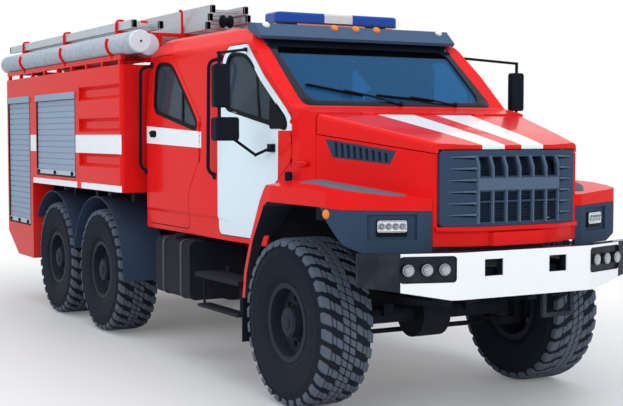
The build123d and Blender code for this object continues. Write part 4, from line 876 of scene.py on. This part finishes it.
# name, places across, lens
visor_lamps = (("visor_markers", (-0.2, 0.0, 0.2), amber), ("visor_end_lamps", (-0.82, 0.82), clear_lens))
for name, places, lens in visor_lamps:
    domes = [turned(marker_profile, (marker_x, y, marker_z), visor_slope, marker_sides) for y in places]
    made(name, domes, lens, "chassis")
pale_white = (0.62, 0.64, 0.66, 1)
pale_middle = field(-0.145, 0.125, 2.70, 3.0)
bar_foot = field(-1.0, 1.0, 2.70, 2.846)
beacon = finish_of("blue_lens", base=(0.006, 0.060, 0.36, 1), rough=0.14,
                   films=[(pale_white, (pale_middle, FRONT_VIEW)), (trim_and_shade_grey, (bar_foot, FRONT_VIEW))],
                   coat=0.9, grain=40, dusty=0.0, ribs=("Y", 0.020, 0.35))
paint_nodes(beacon, "light_bar")

# Mirrors: tall and wide-angle heads in black housings on a bent tube, with silvered glass behind.
# Each pair rides its front door.
bright = finish_of("bright_metal", base=(0.78, 0.80, 0.82, 1), rough=0.12, metal=1.0, grain=80, bump=0.02,
                   dusty=0.0, speck=0.05)
paint_nodes(black_plastic, "mirror_right", "mirror_left")
# glass: rear face from the front axle, middle across, middle height, width, height
mirror_panes = ((-0.669, 1.375, 2.285, 0.100, 0.280), (-0.679, 1.345, 1.9675, 0.160, 0.138))
mirror_levels = ((0, 0.0), (0, 0.003), (0.004, 0.004))
mirror_round = 0.03
# direction of a plate's width where the plate faces backwards
TO_RIGHT = (0, -1, 0)
for side, hand in HANDS:
    panes = [plate(rectangle(width, height, mirror_round), mirror_levels, (front_axle + x, side * y, z),
                   TO_RIGHT, UP) for x, y, z, width, height in mirror_panes]
    made(f"mirror_glass_{hand}", panes, bright, f"door_front_{hand}")

# Seats: foam cushions in dark woven cloth with crowned faces and sewn channels, on moulded plinths.
# Each row has one cushion and one raked back, and a head rest for each place.
cloth = finish_of("seat_cloth", base=(0.040, 0.042, 0.048, 1), rough=0.9, grain=400, bump=0.5, speck=0.5,
                  dusty=0.0, edge=0.003)
# rows: place along, middle across, width, number of head rests
seat_rows = ((-1.350, 0.480, 0.520, 1), (-1.350, -0.380, 0.900, 2), (-2.750, 0.0, 1.800, 4))
# pads: rear, foot, front and top of the box from the row's place, rake
row_pads = ((0.004, 1.425, 0.516, 1.556, 0.0), (0.006, 1.520, 0.118, 2.112, 0.155))
head_pad = (-0.076, 2.125, 0.006, 2.306, 0.0)
head_half = 0.126
seat_gap = 0.004
channels_each = 2
plinth_long = 0.400
plinth_spare = 0.09
plinth_round = 0.05
plinth_middle = 0.24
plinth_foot = 1.1415
plinth_levels = ((0.012, 0), (0, 0.012), (0, 0.26), (0.02, 0.282))
pole_gap = 0.02
pad_rows = 28
pad_columns = 64
plan_power = 0.28
waist_power = 0.3
crown_power = 0.42
channel_depth = 0.05
channel_width = 0.22


def crowned_pad(low, high, channels, rake):
    """Closed cushion in a box: a ball whose sines and cosines are raised to a small power, so that
    it fills the box with crowned faces, pressed in along sewn channels and sheared back by the rake."""
    u = np.linspace(-pi / 2 + pole_gap, pi / 2 - pole_gap, pad_rows)[:, None]
    v = np.linspace(0, 2 * pi, pad_columns, endpoint=False)[None, :]

    def blunt(value, power):
        """Value raised to a power with its sign kept."""
        return np.sign(value) * np.abs(value) ** power

    waist = blunt(np.cos(u), waist_power)
    shape = np.stack((waist * blunt(np.cos(v), plan_power), waist * blunt(np.sin(v), plan_power),
                      blunt(np.sin(u), crown_power) * np.ones_like(v)), axis=-1)
    seam = np.sin(shape[..., 1:2] * channels * pi / 2) / channel_width
    sewn = 1 - channel_depth * np.exp(-seam ** 2)
    shape = shape * np.where(np.arange(3) == 1, 1, sewn)
    middle = (np.array(low) + np.array(high)) / 2
    grid = middle + shape * (np.array(high) - np.array(low)) / 2
    grid[..., 0] -= rake * (grid[..., 2] - low[2])
    return grid


pads = []
plinths = []
for x, y, width, heads in seat_rows:
    x += front_axle
    right = y - width / 2 + seat_gap
    left = y + width / 2 - seat_gap
    for rear, foot, front, top, rake in row_pads:
        pads.append(crowned_pad((x + rear, right, foot), (x + front, left, top), channels_each * heads, rake))
    rear, foot, front, top, rake = head_pad
    for i in range(heads):
        head = y + (i - (heads - 1) / 2) * width / heads
        pads.append(crowned_pad((x + rear, head - head_half, foot), (x + front, head + head_half, top), 1,
                                rake))
    plinths.append(plate(rectangle(plinth_long, width - plinth_spare, plinth_round), plinth_levels,
                         (x + plinth_middle, y, plinth_foot), ALONG, ACROSS))
seat_pads = made("seat_pads", pads, cloth, "chassis")
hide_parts("seats")
made("seat_plinths", plinths, black_plastic, "chassis")
paint_nodes(black_plastic, "dashboard", "steering_wheel")

# Nose: lift-up hood in red with two broad white film stripes, and the red engine surround with its
# dark slatted side vents. Their inner faces, the grille's back and the nose's lower sides by the
# wheel arch are painted shade in dark grey.
moulding = finish_of("grained_plastic", base=(0.034, 0.058, 0.100, 1), rough=0.46, grain=180, bump=0.08,
                     speck=0.2, dusty=0.02)
lid_stripes = (ahead((1.1, 0.07), (1.1, 0.25), (0.0, 0.42), (0.0, 0.10)),
               ahead((1.1, -0.25), (1.1, -0.07), (0.0, -0.10), (0.0, -0.42)))
# painted shade: dark grey over the hood's inner faces
hood_shade_room = (ahead((-0.30, 1.0), (1.10, 1.0), (1.10, 1.832), (0.905, 1.858), (0.70, 1.906), (0.03, 2.039),
                   (-0.30, 2.062)), SIDE_VIEW)
hood_shade_walls = (ahead((-0.30, -0.925), (0.02, -0.910), (0.985, -0.592), (1.043, -0.330), (1.043, 0.330),
                    (0.985, 0.592), (0.02, 0.910), (-0.30, 0.925)), PLAN_VIEW)
lid_films = [(film_white, (stripe, PLAN_VIEW)) for stripe in lid_stripes]
lid_paint = lacquer("lid_lacquer", [*lid_films, (trim_and_shade_grey, hood_shade_room, hood_shade_walls)], rough=0.2, coat=0.4)
paint_nodes(lid_paint, "hood")
# painted shade: dark grey over the nose's inner faces, its lower sides by the wheel arch and the grille's
# back
shade_under_hood = (ahead((-0.30, 1.0), (0.95, 1.0), (1.00, 1.836), (0.90, 1.845), (0.70, 1.893), (0.03, 2.026),
                    (-0.30, 2.05)), SIDE_VIEW)
shade_between_walls = (ahead((-0.30, -0.925), (0.02, -0.910), (0.965, -0.597), (0.965, 0.597), (0.02, 0.910),
                       (-0.30, 0.925)), PLAN_VIEW)
shade_behind_apron = (ahead(*field(-0.30, 0.60, 1.0, 1.484)), SIDE_VIEW)
shade_behind_grille = (field(-0.574, 0.574, 1.322, 1.8245), FRONT_VIEW)
nose_paint = lacquer("nose_lacquer", [(trim_and_shade_grey, shade_under_hood, shade_between_walls), (trim_and_shade_grey, shade_behind_apron),
                                      (trim_and_shade_grey, shade_behind_grille)])
paint_nodes(nose_paint, "nose_panel")
paint_nodes(moulding, "side_vents")

# Grille: bowed dark moulding with a plain band across upright ribs, wedge louvres at each side, and
# fine level fins behind its openings. The band, ribs and louvres are the moulding's plastic in a
# lighter grey, a painted highlight on their raised faces.
paint_nodes(moulding, "grille")
# painted highlight: the raised band, ribs and louvres are the moulding's plastic in a lighter grey
relief_highlight_grey = finish_of("relief_plastic_highlight", base=(0.085, 0.125, 0.185, 1), rough=0.46, grain=180, bump=0.08,
                        speck=0.2, dusty=0.0)
fin_outline = rectangle(width=0.030, height=0.672, radius=0.004)
fin_levels = ((0, 0), (0, 0.004))
fin_z = np.linspace(1.355, 1.775, 36)
fin_x = front_axle + np.interp(fin_z, (1.60, 1.80), (1.078, 0.985))
fin = plate(fin_outline, fin_levels, (0, 0, 0), ALONG, ACROSS)
fins = fin[None] + np.stack((fin_x, 0 * fin_z, fin_z), axis=-1)[:, None, None, :]
made("grille_fins", [fins], moulding, "chassis")
# bow of the grille in plan: distance from the middle, place ahead of the axle
bow_plan = np.array(((0.300, 1.115), (0.335, 1.107), (0.370, 1.098), (0.570, 1.005)))
lean_place = 1.165
lean_height = 1.600
lean_slope = 0.45
root = -0.004
rib_pitch = 0.112
rib_order = np.arange(-3, 4)
rib_z = np.concatenate((np.linspace(1.340, 1.711, 8), np.linspace(1.73, 1.788, 4)))[:, None]
# section of a rib: step across, rise
rib_section = np.array(((-0.010, root), (-0.006, 0.015), (0.006, 0.015), (0.010, root)))
louvre_heights = 1.393 + 0.076 * np.arange(6)
louvre_start = 0.350
louvre_long = 0.165
louvre_thick = 0.016
louvre_thin = 0.010
louvre_rise = 0.016
louvre_fall = 0.012
louvre_run = np.linspace(0, 1, 8)[:, None]
# section of a louvre: share of its thickness, whether it stands out
louvre_section = np.array(((0, 0), (0, 1), (1, 1), (1, 0)))
band_y = np.linspace(-0.342, 0.342, 24)[:, None]
# section of the band: height, rise
band_section = np.array(((1.556, root), (1.560, 0.0165), (1.638, 0.0165), (1.642, root)))


def grille_face(y, z, rise):
    """Points (y, z) of the front view set on the grille: the lesser of its bowed plan and leaning top."""
    y, z, rise = np.broadcast_arrays(y, z, rise)
    bow = np.interp(np.abs(y), *bow_plan.T)
    lean = lean_place - lean_slope * (z - lean_height)
    return np.stack((front_axle + np.minimum(bow, lean) + rise, y, z), axis=-1)


grille_grids = [grille_face(y + rib_section[None, :, 0], rib_z, rib_section[None, :, 1])
                for y in rib_order * rib_pitch]
louvre_reach = np.where(louvre_section[None, :, 1] > 0, louvre_rise - louvre_fall * louvre_run, root)
louvre_height = (louvre_thick - louvre_thin * louvre_run) * louvre_section[None, :, 0]
for side in (-1, 1):
    louvre_y = side * (louvre_start + louvre_long * louvre_run)
    grille_grids += [grille_face(louvre_y, z + louvre_height, louvre_reach) for z in louvre_heights]
grille_grids.append(grille_face(band_y, band_section[None, :, 0], band_section[None, :, 1]))
made("grille_relief", grille_grids, relief_highlight_grey, "chassis")

# Fenders: red wings with painted shade in dark grey inside the wheel arch, with grey grip pads stuck
# on top and dark corner aprons below, each apron with an amber marker on its side.
# painted shade: dark grey over the wing's faces inside the wheel arch
wheel_arch_shade = (ahead((-0.660, 0.60), (1.10, 0.60), (0.990, 1.427), (0.54, 1.449), (-0.203, 1.449),
                    (-0.275, 1.413), (-0.486, 1.147), (-0.608, 0.891), (-0.646, 0.70)), SIDE_VIEW)
wing_paint = lacquer("wing_lacquer", [(trim_and_shade_grey, wheel_arch_shade)])
paint_nodes(wing_paint, "fenders")
paint_nodes(moulding, "aprons")
pad_grey = finish_of("grip_pad", base=(0.13, 0.155, 0.20, 1), rough=0.85, grain=500, bump=0.6, speck=0.5,
                     dusty=0.0)
pad_outline = ((0.02, 1.090), (0.02, 0.985), (0.62, 0.765), (0.84, 0.695), (0.86, 0.800), (0.62, 1.000),
               (0.40, 1.090))
pad_round = 0.05
pad_points = 120
pad_levels = ((0, -0.003), (0, 0.002), (0.003, 0.004))
pad_rise = 0.004
pad_rings = 8
# fender top in the side view: place ahead of the axle, height
fender_profile = np.array(((0.10, 1.610), (0.985, 1.506)))
crown_height = 1.610
crown_start = 0.940
crown_fall = np.tan(radians(9))
marker_place = (0.640, 1.206, 1.405)
marker_turn = 0.35
# part, profile, finish, slot
side_markers = (("base", ((0.040, -0.004), (0.040, 0.006), (0.036, 0.010)), black_plastic, "dark_plastic"),
                ("lens", ((0.032, 0.004), (0.032, 0.012), (0.026, 0.020), (0.014, 0.024)), amber,
                 "lamp_glass"))


def dense(outline, count):
    """Closed outline as evenly spaced points along its length."""
    loop = np.vstack((outline, outline[:1]))
    run = np.concatenate(([0], np.cumsum(np.linalg.norm(np.diff(loop, axis=0), axis=1))))
    place = np.linspace(0, run[-1], count, endpoint=False)
    return np.stack([np.interp(place, run, column) for column in loop.T], axis=1)


def fender_top(x, y):
    """Height of a fender's top: the lesser of its side profile, falling ahead of the axle, and its
    crown, falling outwards."""
    profile = np.interp(x - front_axle, *fender_profile.T)
    crown = crown_height - crown_fall * (np.abs(y) - crown_start)
    return np.minimum(profile, crown)


for side, hand in HANDS:
    outline = dense(softened(np.array(pad_outline) + (front_axle, 0), pad_round), pad_points)
    rings = []
    for inset, rise in pad_levels:
        ring = drawn_in(outline, inset)
        rings.append(np.stack((ring[:, 0], side * ring[:, 1], fender_top(*ring.T) + rise), axis=1))
    towards_middle = np.linspace(rings[-1].mean(axis=0), rings[-1], pad_rings)[::-1]
    towards_middle[..., 2] = fender_top(towards_middle[..., 0], towards_middle[..., 1]) + pad_rise
    pad = np.concatenate((np.array(rings), towards_middle[1:-1]))
    made(f"fender_pad_{hand}", [pad], pad_grey, "chassis")
    marker_centre = np.array(marker_place) * (1, side, 1) + (front_axle, 0, 0)
    for part, profile, finish, slot in side_markers:
        marker = turned(profile, marker_centre, (marker_turn, side, 0), marker_sides)
        made(f"side_marker_{part}_{hand}", [marker], finish, "chassis")

# Headlamps: bright reflector trough in a black housing, open in front, with a row of four bulb bowls.
# The housing is let into the apron's slanting face.
lamp_black = finish_of("lamp_housing", base=(0.008, 0.009, 0.011, 1), rough=0.3, grain=90, bump=0.03,
                       dusty=0.05)
paint_nodes(lamp_black, "front_lamps")
reflector = finish_of("reflector", base=(0.46, 0.50, 0.55, 1), rough=0.16, metal=1.0, grain=160, bump=0.25,
                      dusty=0.0, speck=0.5)
lamp_face = np.array((front_axle + 0.893, 0.867, 1.316))
face_run = np.array((0.205, 0.510, 0))
face_run /= np.linalg.norm(face_run)
lamp_proud = 0.001
lamp_rise = (0, 0, 0.012)
trough = rectangle(width=0.196, height=0.080, radius=0.016)
trough_levels = ((0, 0), (0, 0.008), (0.005, 0.010), (0.009, 0.004))
bowl_places = (-0.068, -0.023, 0.023, 0.068)
bowl_sides = 28
lamp_bowl = ((0.0235, 0.004), (0.0235, 0.013), (0.0215, 0.015), (0.0195, 0.013), (0.012, 0.006),
             (0.007, 0.0055), (0.006, 0.011), (0.003, 0.012))
for side, hand in HANDS:
    along = face_run * (1, -side, 0)
    out = np.array((face_run[1], side * face_run[0], 0))
    centre = lamp_face * (1, side, 1) + lamp_proud * out + lamp_rise
    trough_rings = plate(trough, trough_levels, centre, -side * along, UP)
    made(f"headlamp_trough_{hand}", [trough_rings], bright, "chassis")
    bowls = [turned(lamp_bowl, centre + along * step, out, bowl_sides) for step in bowl_places]
    made(f"headlamp_bowls_{hand}", bowls, reflector, "chassis")

# Bumper: bent steel beam in white gloss with black swept ends, a dark tread strip on top, and a
# black lamp pod sunk into each side with three round lamps in open reflector bowls. The beam's inside
# behind the two tow openings is black, painted shade.
bumper_white = (0.82, 0.84, 0.86, 1)
beam_black = (0.010, 0.014, 0.024, 1)
swept_end = field(-1.4, -0.925, 0.5, 1.4)
pod = field(-1.0, -0.550, 0.968, 1.156)
pod_floor = ahead((0.95, -0.40), (0.95, -1.0), (1.0575, -1.0), (1.198, -0.5444), (1.198, -0.40))
top_strip = field(-1.4, 1.4, 1.1665, 1.3)
hung_step = field(-1.4, 1.4, 0.5, 0.857)
# painted shade: black on the beam's inside behind the two tow openings
tow_half = 0.0755
tow_opening_shades = [field(y - tow_half, y + tow_half, 1.003, 1.117) for y in (-0.27, 0.27)]
shade_inside_beam = ahead(*field(0.9, 1.193, -0.40, 0.40))
far_end, far_pod = (tuple((-y, z) for y, z in reversed(shape)) for shape in (swept_end, pod))
far_floor = tuple((x, -y) for x, y in reversed(pod_floor))
bumper_films = [(beam_black, (shape, FRONT_VIEW)) for shape in (swept_end, far_end, top_strip, hung_step)]
bumper_films += [(beam_black, (pod, FRONT_VIEW), (pod_floor, PLAN_VIEW)),
                 (beam_black, (far_pod, FRONT_VIEW), (far_floor, PLAN_VIEW))]
bumper_films += [(beam_black, (shape, FRONT_VIEW), (shade_inside_beam, PLAN_VIEW)) for shape in tow_opening_shades]
bumper_paint = finish_of("bumper_white", bumper_white, rough=0.26, films=bumper_films, coat=0.4, grain=8,
                         speck=0.03, dusty=0.05)
paint_nodes(bumper_paint, "bumper")
beam_run = np.array((0.125, 0.405, 0))
beam_run /= np.linalg.norm(beam_run)
# round lamps: place ahead of the axle, distance from the middle
round_lamps = ((1.158, 0.640), (1.131, 0.757), (1.098, 0.880))
pod_level = 1.062
pod_proud = 0.004
pod_bowl_sides = 32
pod_bowl = ((0.039, -0.006), (0.039, 0.016), (0.0365, 0.019), (0.034, 0.016), (0.029, 0.008), (0.018, 0.003),
            (0.013, 0.004), (0.012, 0.011), (0.006, 0.014))
for side, hand in HANDS:
    out = np.array((beam_run[1], side * beam_run[0], 0))
    faces = [np.array((front_axle + x, side * y, pod_level)) + pod_proud * out for x, y in round_lamps]
    lamps = [turned(pod_bowl, face, out, pod_bowl_sides) for face in faces]
    made(f"pod_lamps_{hand}", lamps, reflector, "chassis")

# Fire body: welded tank with pressed side grooves and a locker section behind it, both in red gloss
# with white reflective patches along the belt and the foot.
patches = (ahead(*field(-4.40, -3.075, 1.745, 1.925)), ahead(*field(-5.95, -5.735, 1.745, 1.925)),
           ahead(*field(-4.2, -3.075, 1.392, 1.452)), ahead(*field(-5.86, -4.33, 1.392, 1.452)))
body_paint = lacquer("body_lacquer", [(film_white, (patch, SIDE_VIEW)) for patch in patches])
paint_nodes(body_paint, "tank_body", "locker_body")
lid_grey = finish_of("lid_grey", base=(0.10, 0.105, 0.11, 1), rough=0.5, grain=60, bump=0.1)
paint_nodes(lid_grey, "tank_lid")
paint_nodes(moulding, "rear_mudguards")

# Roller shutters: anodised slats in rubber-lipped guides, each with a pale foot bar that carries a
# black lip and three black knobs.
shutter_grey = finish_of("anodised_slats", base=(0.29, 0.38, 0.49, 1), rough=0.44, metal=0.1, grain=120,
                         bump=0.02, dusty=0.04)
paint_nodes(shutter_grey, "roller_shutters")
pale_bar = finish_of("pale_bar", base=(0.46, 0.54, 0.62, 1), rough=0.4, metal=0.1, grain=90, bump=0.02,
                     dusty=0.04)
# bays: rear and front edge from the front axle, sill
bays = ((-5.720, -4.370, 1.487), (-6.860, -5.970, 0.900))
body_half = 1.250
shutter_sink = 0.012
shutter_top = 2.290
bar_height = 0.052
bar_round = 0.006
bar_spare = 0.03
bar_rise = 0.040
bar_levels = ((0, 0), (0, 0.008), (0.004, 0.011))
lip_height = 0.016
lip_round = 0.006
lip_spare = 0.02
lip_rise = 0.010
lip_levels = ((0, 0), (0, 0.012), (0.003, 0.015))
guide_width = 0.020
guide_round = 0.004
guide_spare = 0.004
guide_levels = ((0, 0), (0, 0.010), (0.004, 0.013))
knob_count = 3
knob_spare = 0.10
knob_sides = 20
knob = ((0.016, 0.008), (0.016, 0.016), (0.022, 0.018), (0.022, 0.026), (0.016, 0.030))
for side, hand in HANDS:
    bars = []
    lips = []
    guides = []
    knobs = []
    away = (-side, 0, 0)
    skin = side * (body_half - shutter_sink)
    for rear, front, sill in bays:
        middle = front_axle + (rear + front) / 2
        width = front - rear
        bars.append(plate(rectangle(width - bar_spare, bar_height, bar_round), bar_levels,
                          (middle, skin, sill + bar_rise), away, UP))
        lips.append(plate(rectangle(width - lip_spare, lip_height, lip_round), lip_levels,
                          (middle, skin, sill + lip_rise), away, UP))
        for x in np.linspace(rear + knob_spare, front - knob_spare, knob_count):
            knobs.append(turned(knob, (front_axle + x, skin, sill + bar_rise), (0, side, 0), knob_sides))
        guide = rectangle(guide_width, shutter_top - sill - guide_spare, guide_round)
        guide_z = (shutter_top + sill) / 2
        for x in (rear + guide_width / 2, front - guide_width / 2):
            guides.append(plate(guide, guide_levels, (front_axle + x, skin, guide_z), away, UP))
    made(f"shutter_bars_{hand}", bars, pale_bar, "chassis")
    made(f"shutter_lips_{hand}", lips + guides, seal_rubber, "chassis")
    made(f"shutter_knobs_{hand}", knobs, black_plastic, "chassis")

# Roof gear: pale ribbed hose canisters with round end caps, red clips over them, and light-alloy
# ladders with black stile ends and a black pulley, held by red hooks on the gallows.
paint_nodes(plain_paint, "roof_rack")
canister_white = finish_of("canister_shell", base=(0.42, 0.48, 0.54, 1), rough=0.5, grain=24, bump=0.05,
                           dusty=0.0, speck=0.7, ribs=("X", 0.055, 0.2))
paint_nodes(canister_white, "hose_canisters")
cap_white = finish_of("canister_cap", base=(0.62, 0.69, 0.76, 1), rough=0.45, grain=60, bump=0.03, dusty=0.0)
alloy = finish_of("drawn_alloy", base=(0.50, 0.54, 0.58, 1), rough=0.4, metal=0.6, grain=90, bump=0.04,
                  dusty=0.0, stretch=(0.1, 1, 1))
paint_nodes(alloy, "ladders", "rear_step")
rail_top = 2.660
# canisters: rear and front end from the front axle, middle across, radius
canisters = ((-7.020, -2.720, -1.185, 0.100), (-7.000, -3.090, -0.960, 0.100),
             (-7.020, -2.720, 1.185, 0.100), (-6.600, -3.020, -0.600, 0.070))
# cap and collar: step out from the canister's radius, height along it
cap_steps = np.array(((0.0, -0.030), (0.002, -0.028), (0.002, 0.004), (-0.006, 0.010)))
cap_centre_ring = (0.020, 0.011)
collar_steps = np.array(((-0.002, -0.012), (0.002, -0.010), (0.002, 0.010), (-0.002, 0.012)))
stud = ((0.010, 0.008), (0.010, 0.016), (0.006, 0.018))
stud_sides = 20
canister_sides = 48
collar_count = 5
collar_start = 0.5
caps = []
studs = []
collars = []
for rear, front, y, r in canisters:
    z = rail_top + r
    for x, way in ((rear, -1), (front, 1)):
        centre = (front_axle + x, y, z)
        caps.append(turned((*(cap_steps + (r, 0)), cap_centre_ring), centre, (way, 0, 0), canister_sides))
        studs.append(turned(stud, centre, (way, 0, 0), stud_sides))
    for x in np.linspace(rear + collar_start, front - collar_start, collar_count):
        collars.append(turned(collar_steps + (r, 0), (front_axle + x, y, z), ALONG, canister_sides))
made("canister_caps", caps, cap_white, "chassis")
made("canister_collars", collars, canister_white, "chassis")
made("canister_studs", studs, black_plastic, "chassis")
clip_section = rectangle(width=0.040, height=0.010, radius=0.003)
clip_turn = np.linspace(-0.35 * pi, 0.16 * pi, 12)
clip_r = 0.107
clip_places = (-3.304, -4.70, -6.171)
outer_y = 1.185
outer_rise = 0.100
# foot of a clip: distance from the middle, height over the rail
clip_foot = np.array(((1.234, -0.030), (1.236, -0.005)))
clip_arc = np.stack((outer_y + clip_r * np.cos(clip_turn), outer_rise + clip_r * np.sin(clip_turn)), axis=1)
clip_line = np.vstack((clip_foot, clip_arc))
clips = []
for side in (-1, 1):
    for x in clip_places:
        path = np.stack((np.full(len(clip_line), front_axle + x), side * clip_line[:, 0],
                         rail_top + clip_line[:, 1]), axis=1)
        clips.append(tube(path, clip_section, ALONG))
made("canister_clips", clips, plain_paint, "chassis")
gallows_top = 2.900
# ladders: rear and front end, right and left edge, sections stacked, then the hooks' rise over the
# top section and how far they bend outwards
ladders = ((-7.100, -3.000, -1.150, -0.850, 1, 0.020, -0.075),
           (-7.200, -2.850, -0.480, 0.0, 3, -0.014, 0.030))
stile_width = 0.040
stile_height = 0.078
stack_inset = 0.025
stile_end = rectangle(stile_width + 0.004, stile_height - 0.002, radius=0.010)
end_levels = ((0, -0.030), (0, -0.001), (0.004, 0.0))
hook_places = (-3.40, -4.98, -6.50)
hook_out = 0.012
hook_foot = 0.030
hook_bend = 0.04
hook_steps = 6
hook_section = rectangle(width=0.022, height=0.016, radius=0.004)
stile_ends = []
hooks = []
for rear, front, right, left, stack, rise, bend in ladders:
    for level in range(stack):
        z = gallows_top + (level + 0.5) * stile_height
        inset = stack_inset * level
        for y in (right + inset + stile_width / 2, left - inset - stile_width / 2):
            for x, way in ((rear, -1), (front, 1)):
                stile_ends.append(plate(stile_end, end_levels, (front_axle + x, y, z), (0, way, 0), UP))
    high = gallows_top + stack * stile_height + rise
    for x in hook_places:
        for y, way in ((right - hook_out, -1), (left + hook_out, 1)):
            path = np.array(((x, y, gallows_top - hook_foot), (x, y, high), (x, y + way * bend, high)))
            bent = softened(path + (front_axle, 0, 0), hook_bend, hook_steps, closed=False)
            hooks.append(tube(bent, hook_section, ALONG))
made("ladder_ends", stile_ends, black_plastic, "chassis")
made("ladder_hooks", hooks, plain_paint, "chassis")
pulley_place = (front_axle - 2.93, -0.24, 2.990)
pulley_sides = 40
pulley = ((0.012, -0.052), (0.058, -0.050), (0.062, -0.030), (0.040, -0.016), (0.040, 0.016), (0.062, 0.030),
          (0.058, 0.050), (0.012, 0.052))
made("ladder_pulley", [turned(pulley, pulley_place, ACROSS, pulley_sides)], black_plastic, "chassis")

# Tail: lamp clusters in black frames, amber outside, red in the middle and clear inside, and the foot
# bar and lip of the rear shutter.
turn_amber = (0.80, 0.22, 0.01, 1)
back_white = (0.70, 0.72, 0.74, 1)
# lamps in a cluster: middle across, half width, colour
cluster = ((1.12, 0.06, turn_amber), (0.87, 0.05, back_white))
lamp_low = 0.9
lamp_high = 1.2
tail_films = [(colour, (field(side * y - half, side * y + half, lamp_low, lamp_high), FRONT_VIEW))
              for y, half, colour in cluster for side in (-1, 1)]
tail_lens = finish_of("tail_lens", base=(0.36, 0.004, 0.006, 1), rough=0.15, films=tail_films, grain=200,
                      bump=0.1, coat=0.6, dusty=0.02, ribs=("Y", 0.015, 0.4))
paint_nodes(tail_lens, "tail_lamps")
tail_x = front_axle - 6.900
cluster_y = 1.0
cluster_z = 1.020
cluster_outline = rectangle(width=0.392, height=0.152, radius=0.02)
cluster_levels = ((0, 0), (0, 0.024), (0.010, 0.026), (0.0145, 0.022), (0.0145, 0))
frames = [plate(cluster_outline, cluster_levels, (tail_x, side * cluster_y, cluster_z), TO_RIGHT, UP)
          for side in (-1, 1)]
made("tail_lamp_frames", frames, black_plastic, "chassis", looped=True)
rear_bar = rectangle(width=1.02, height=bar_height, radius=bar_round)
rear_bar_z = 1.490
rear_bar_rings = plate(rear_bar, bar_levels, (tail_x + shutter_sink, 0, rear_bar_z), TO_RIGHT, UP)
made("rear_shutter_bar", [rear_bar_rings], pale_bar, "chassis")
rear_lip = rectangle(width=1.03, height=0.014, radius=0.005)
rear_lip_z = 1.459
rear_lip_rings = plate(rear_lip, lip_levels, (tail_x + shutter_sink, 0, rear_lip_z), TO_RIGHT, UP)
made("rear_shutter_lip", [rear_lip_rings], seal_rubber, "chassis")
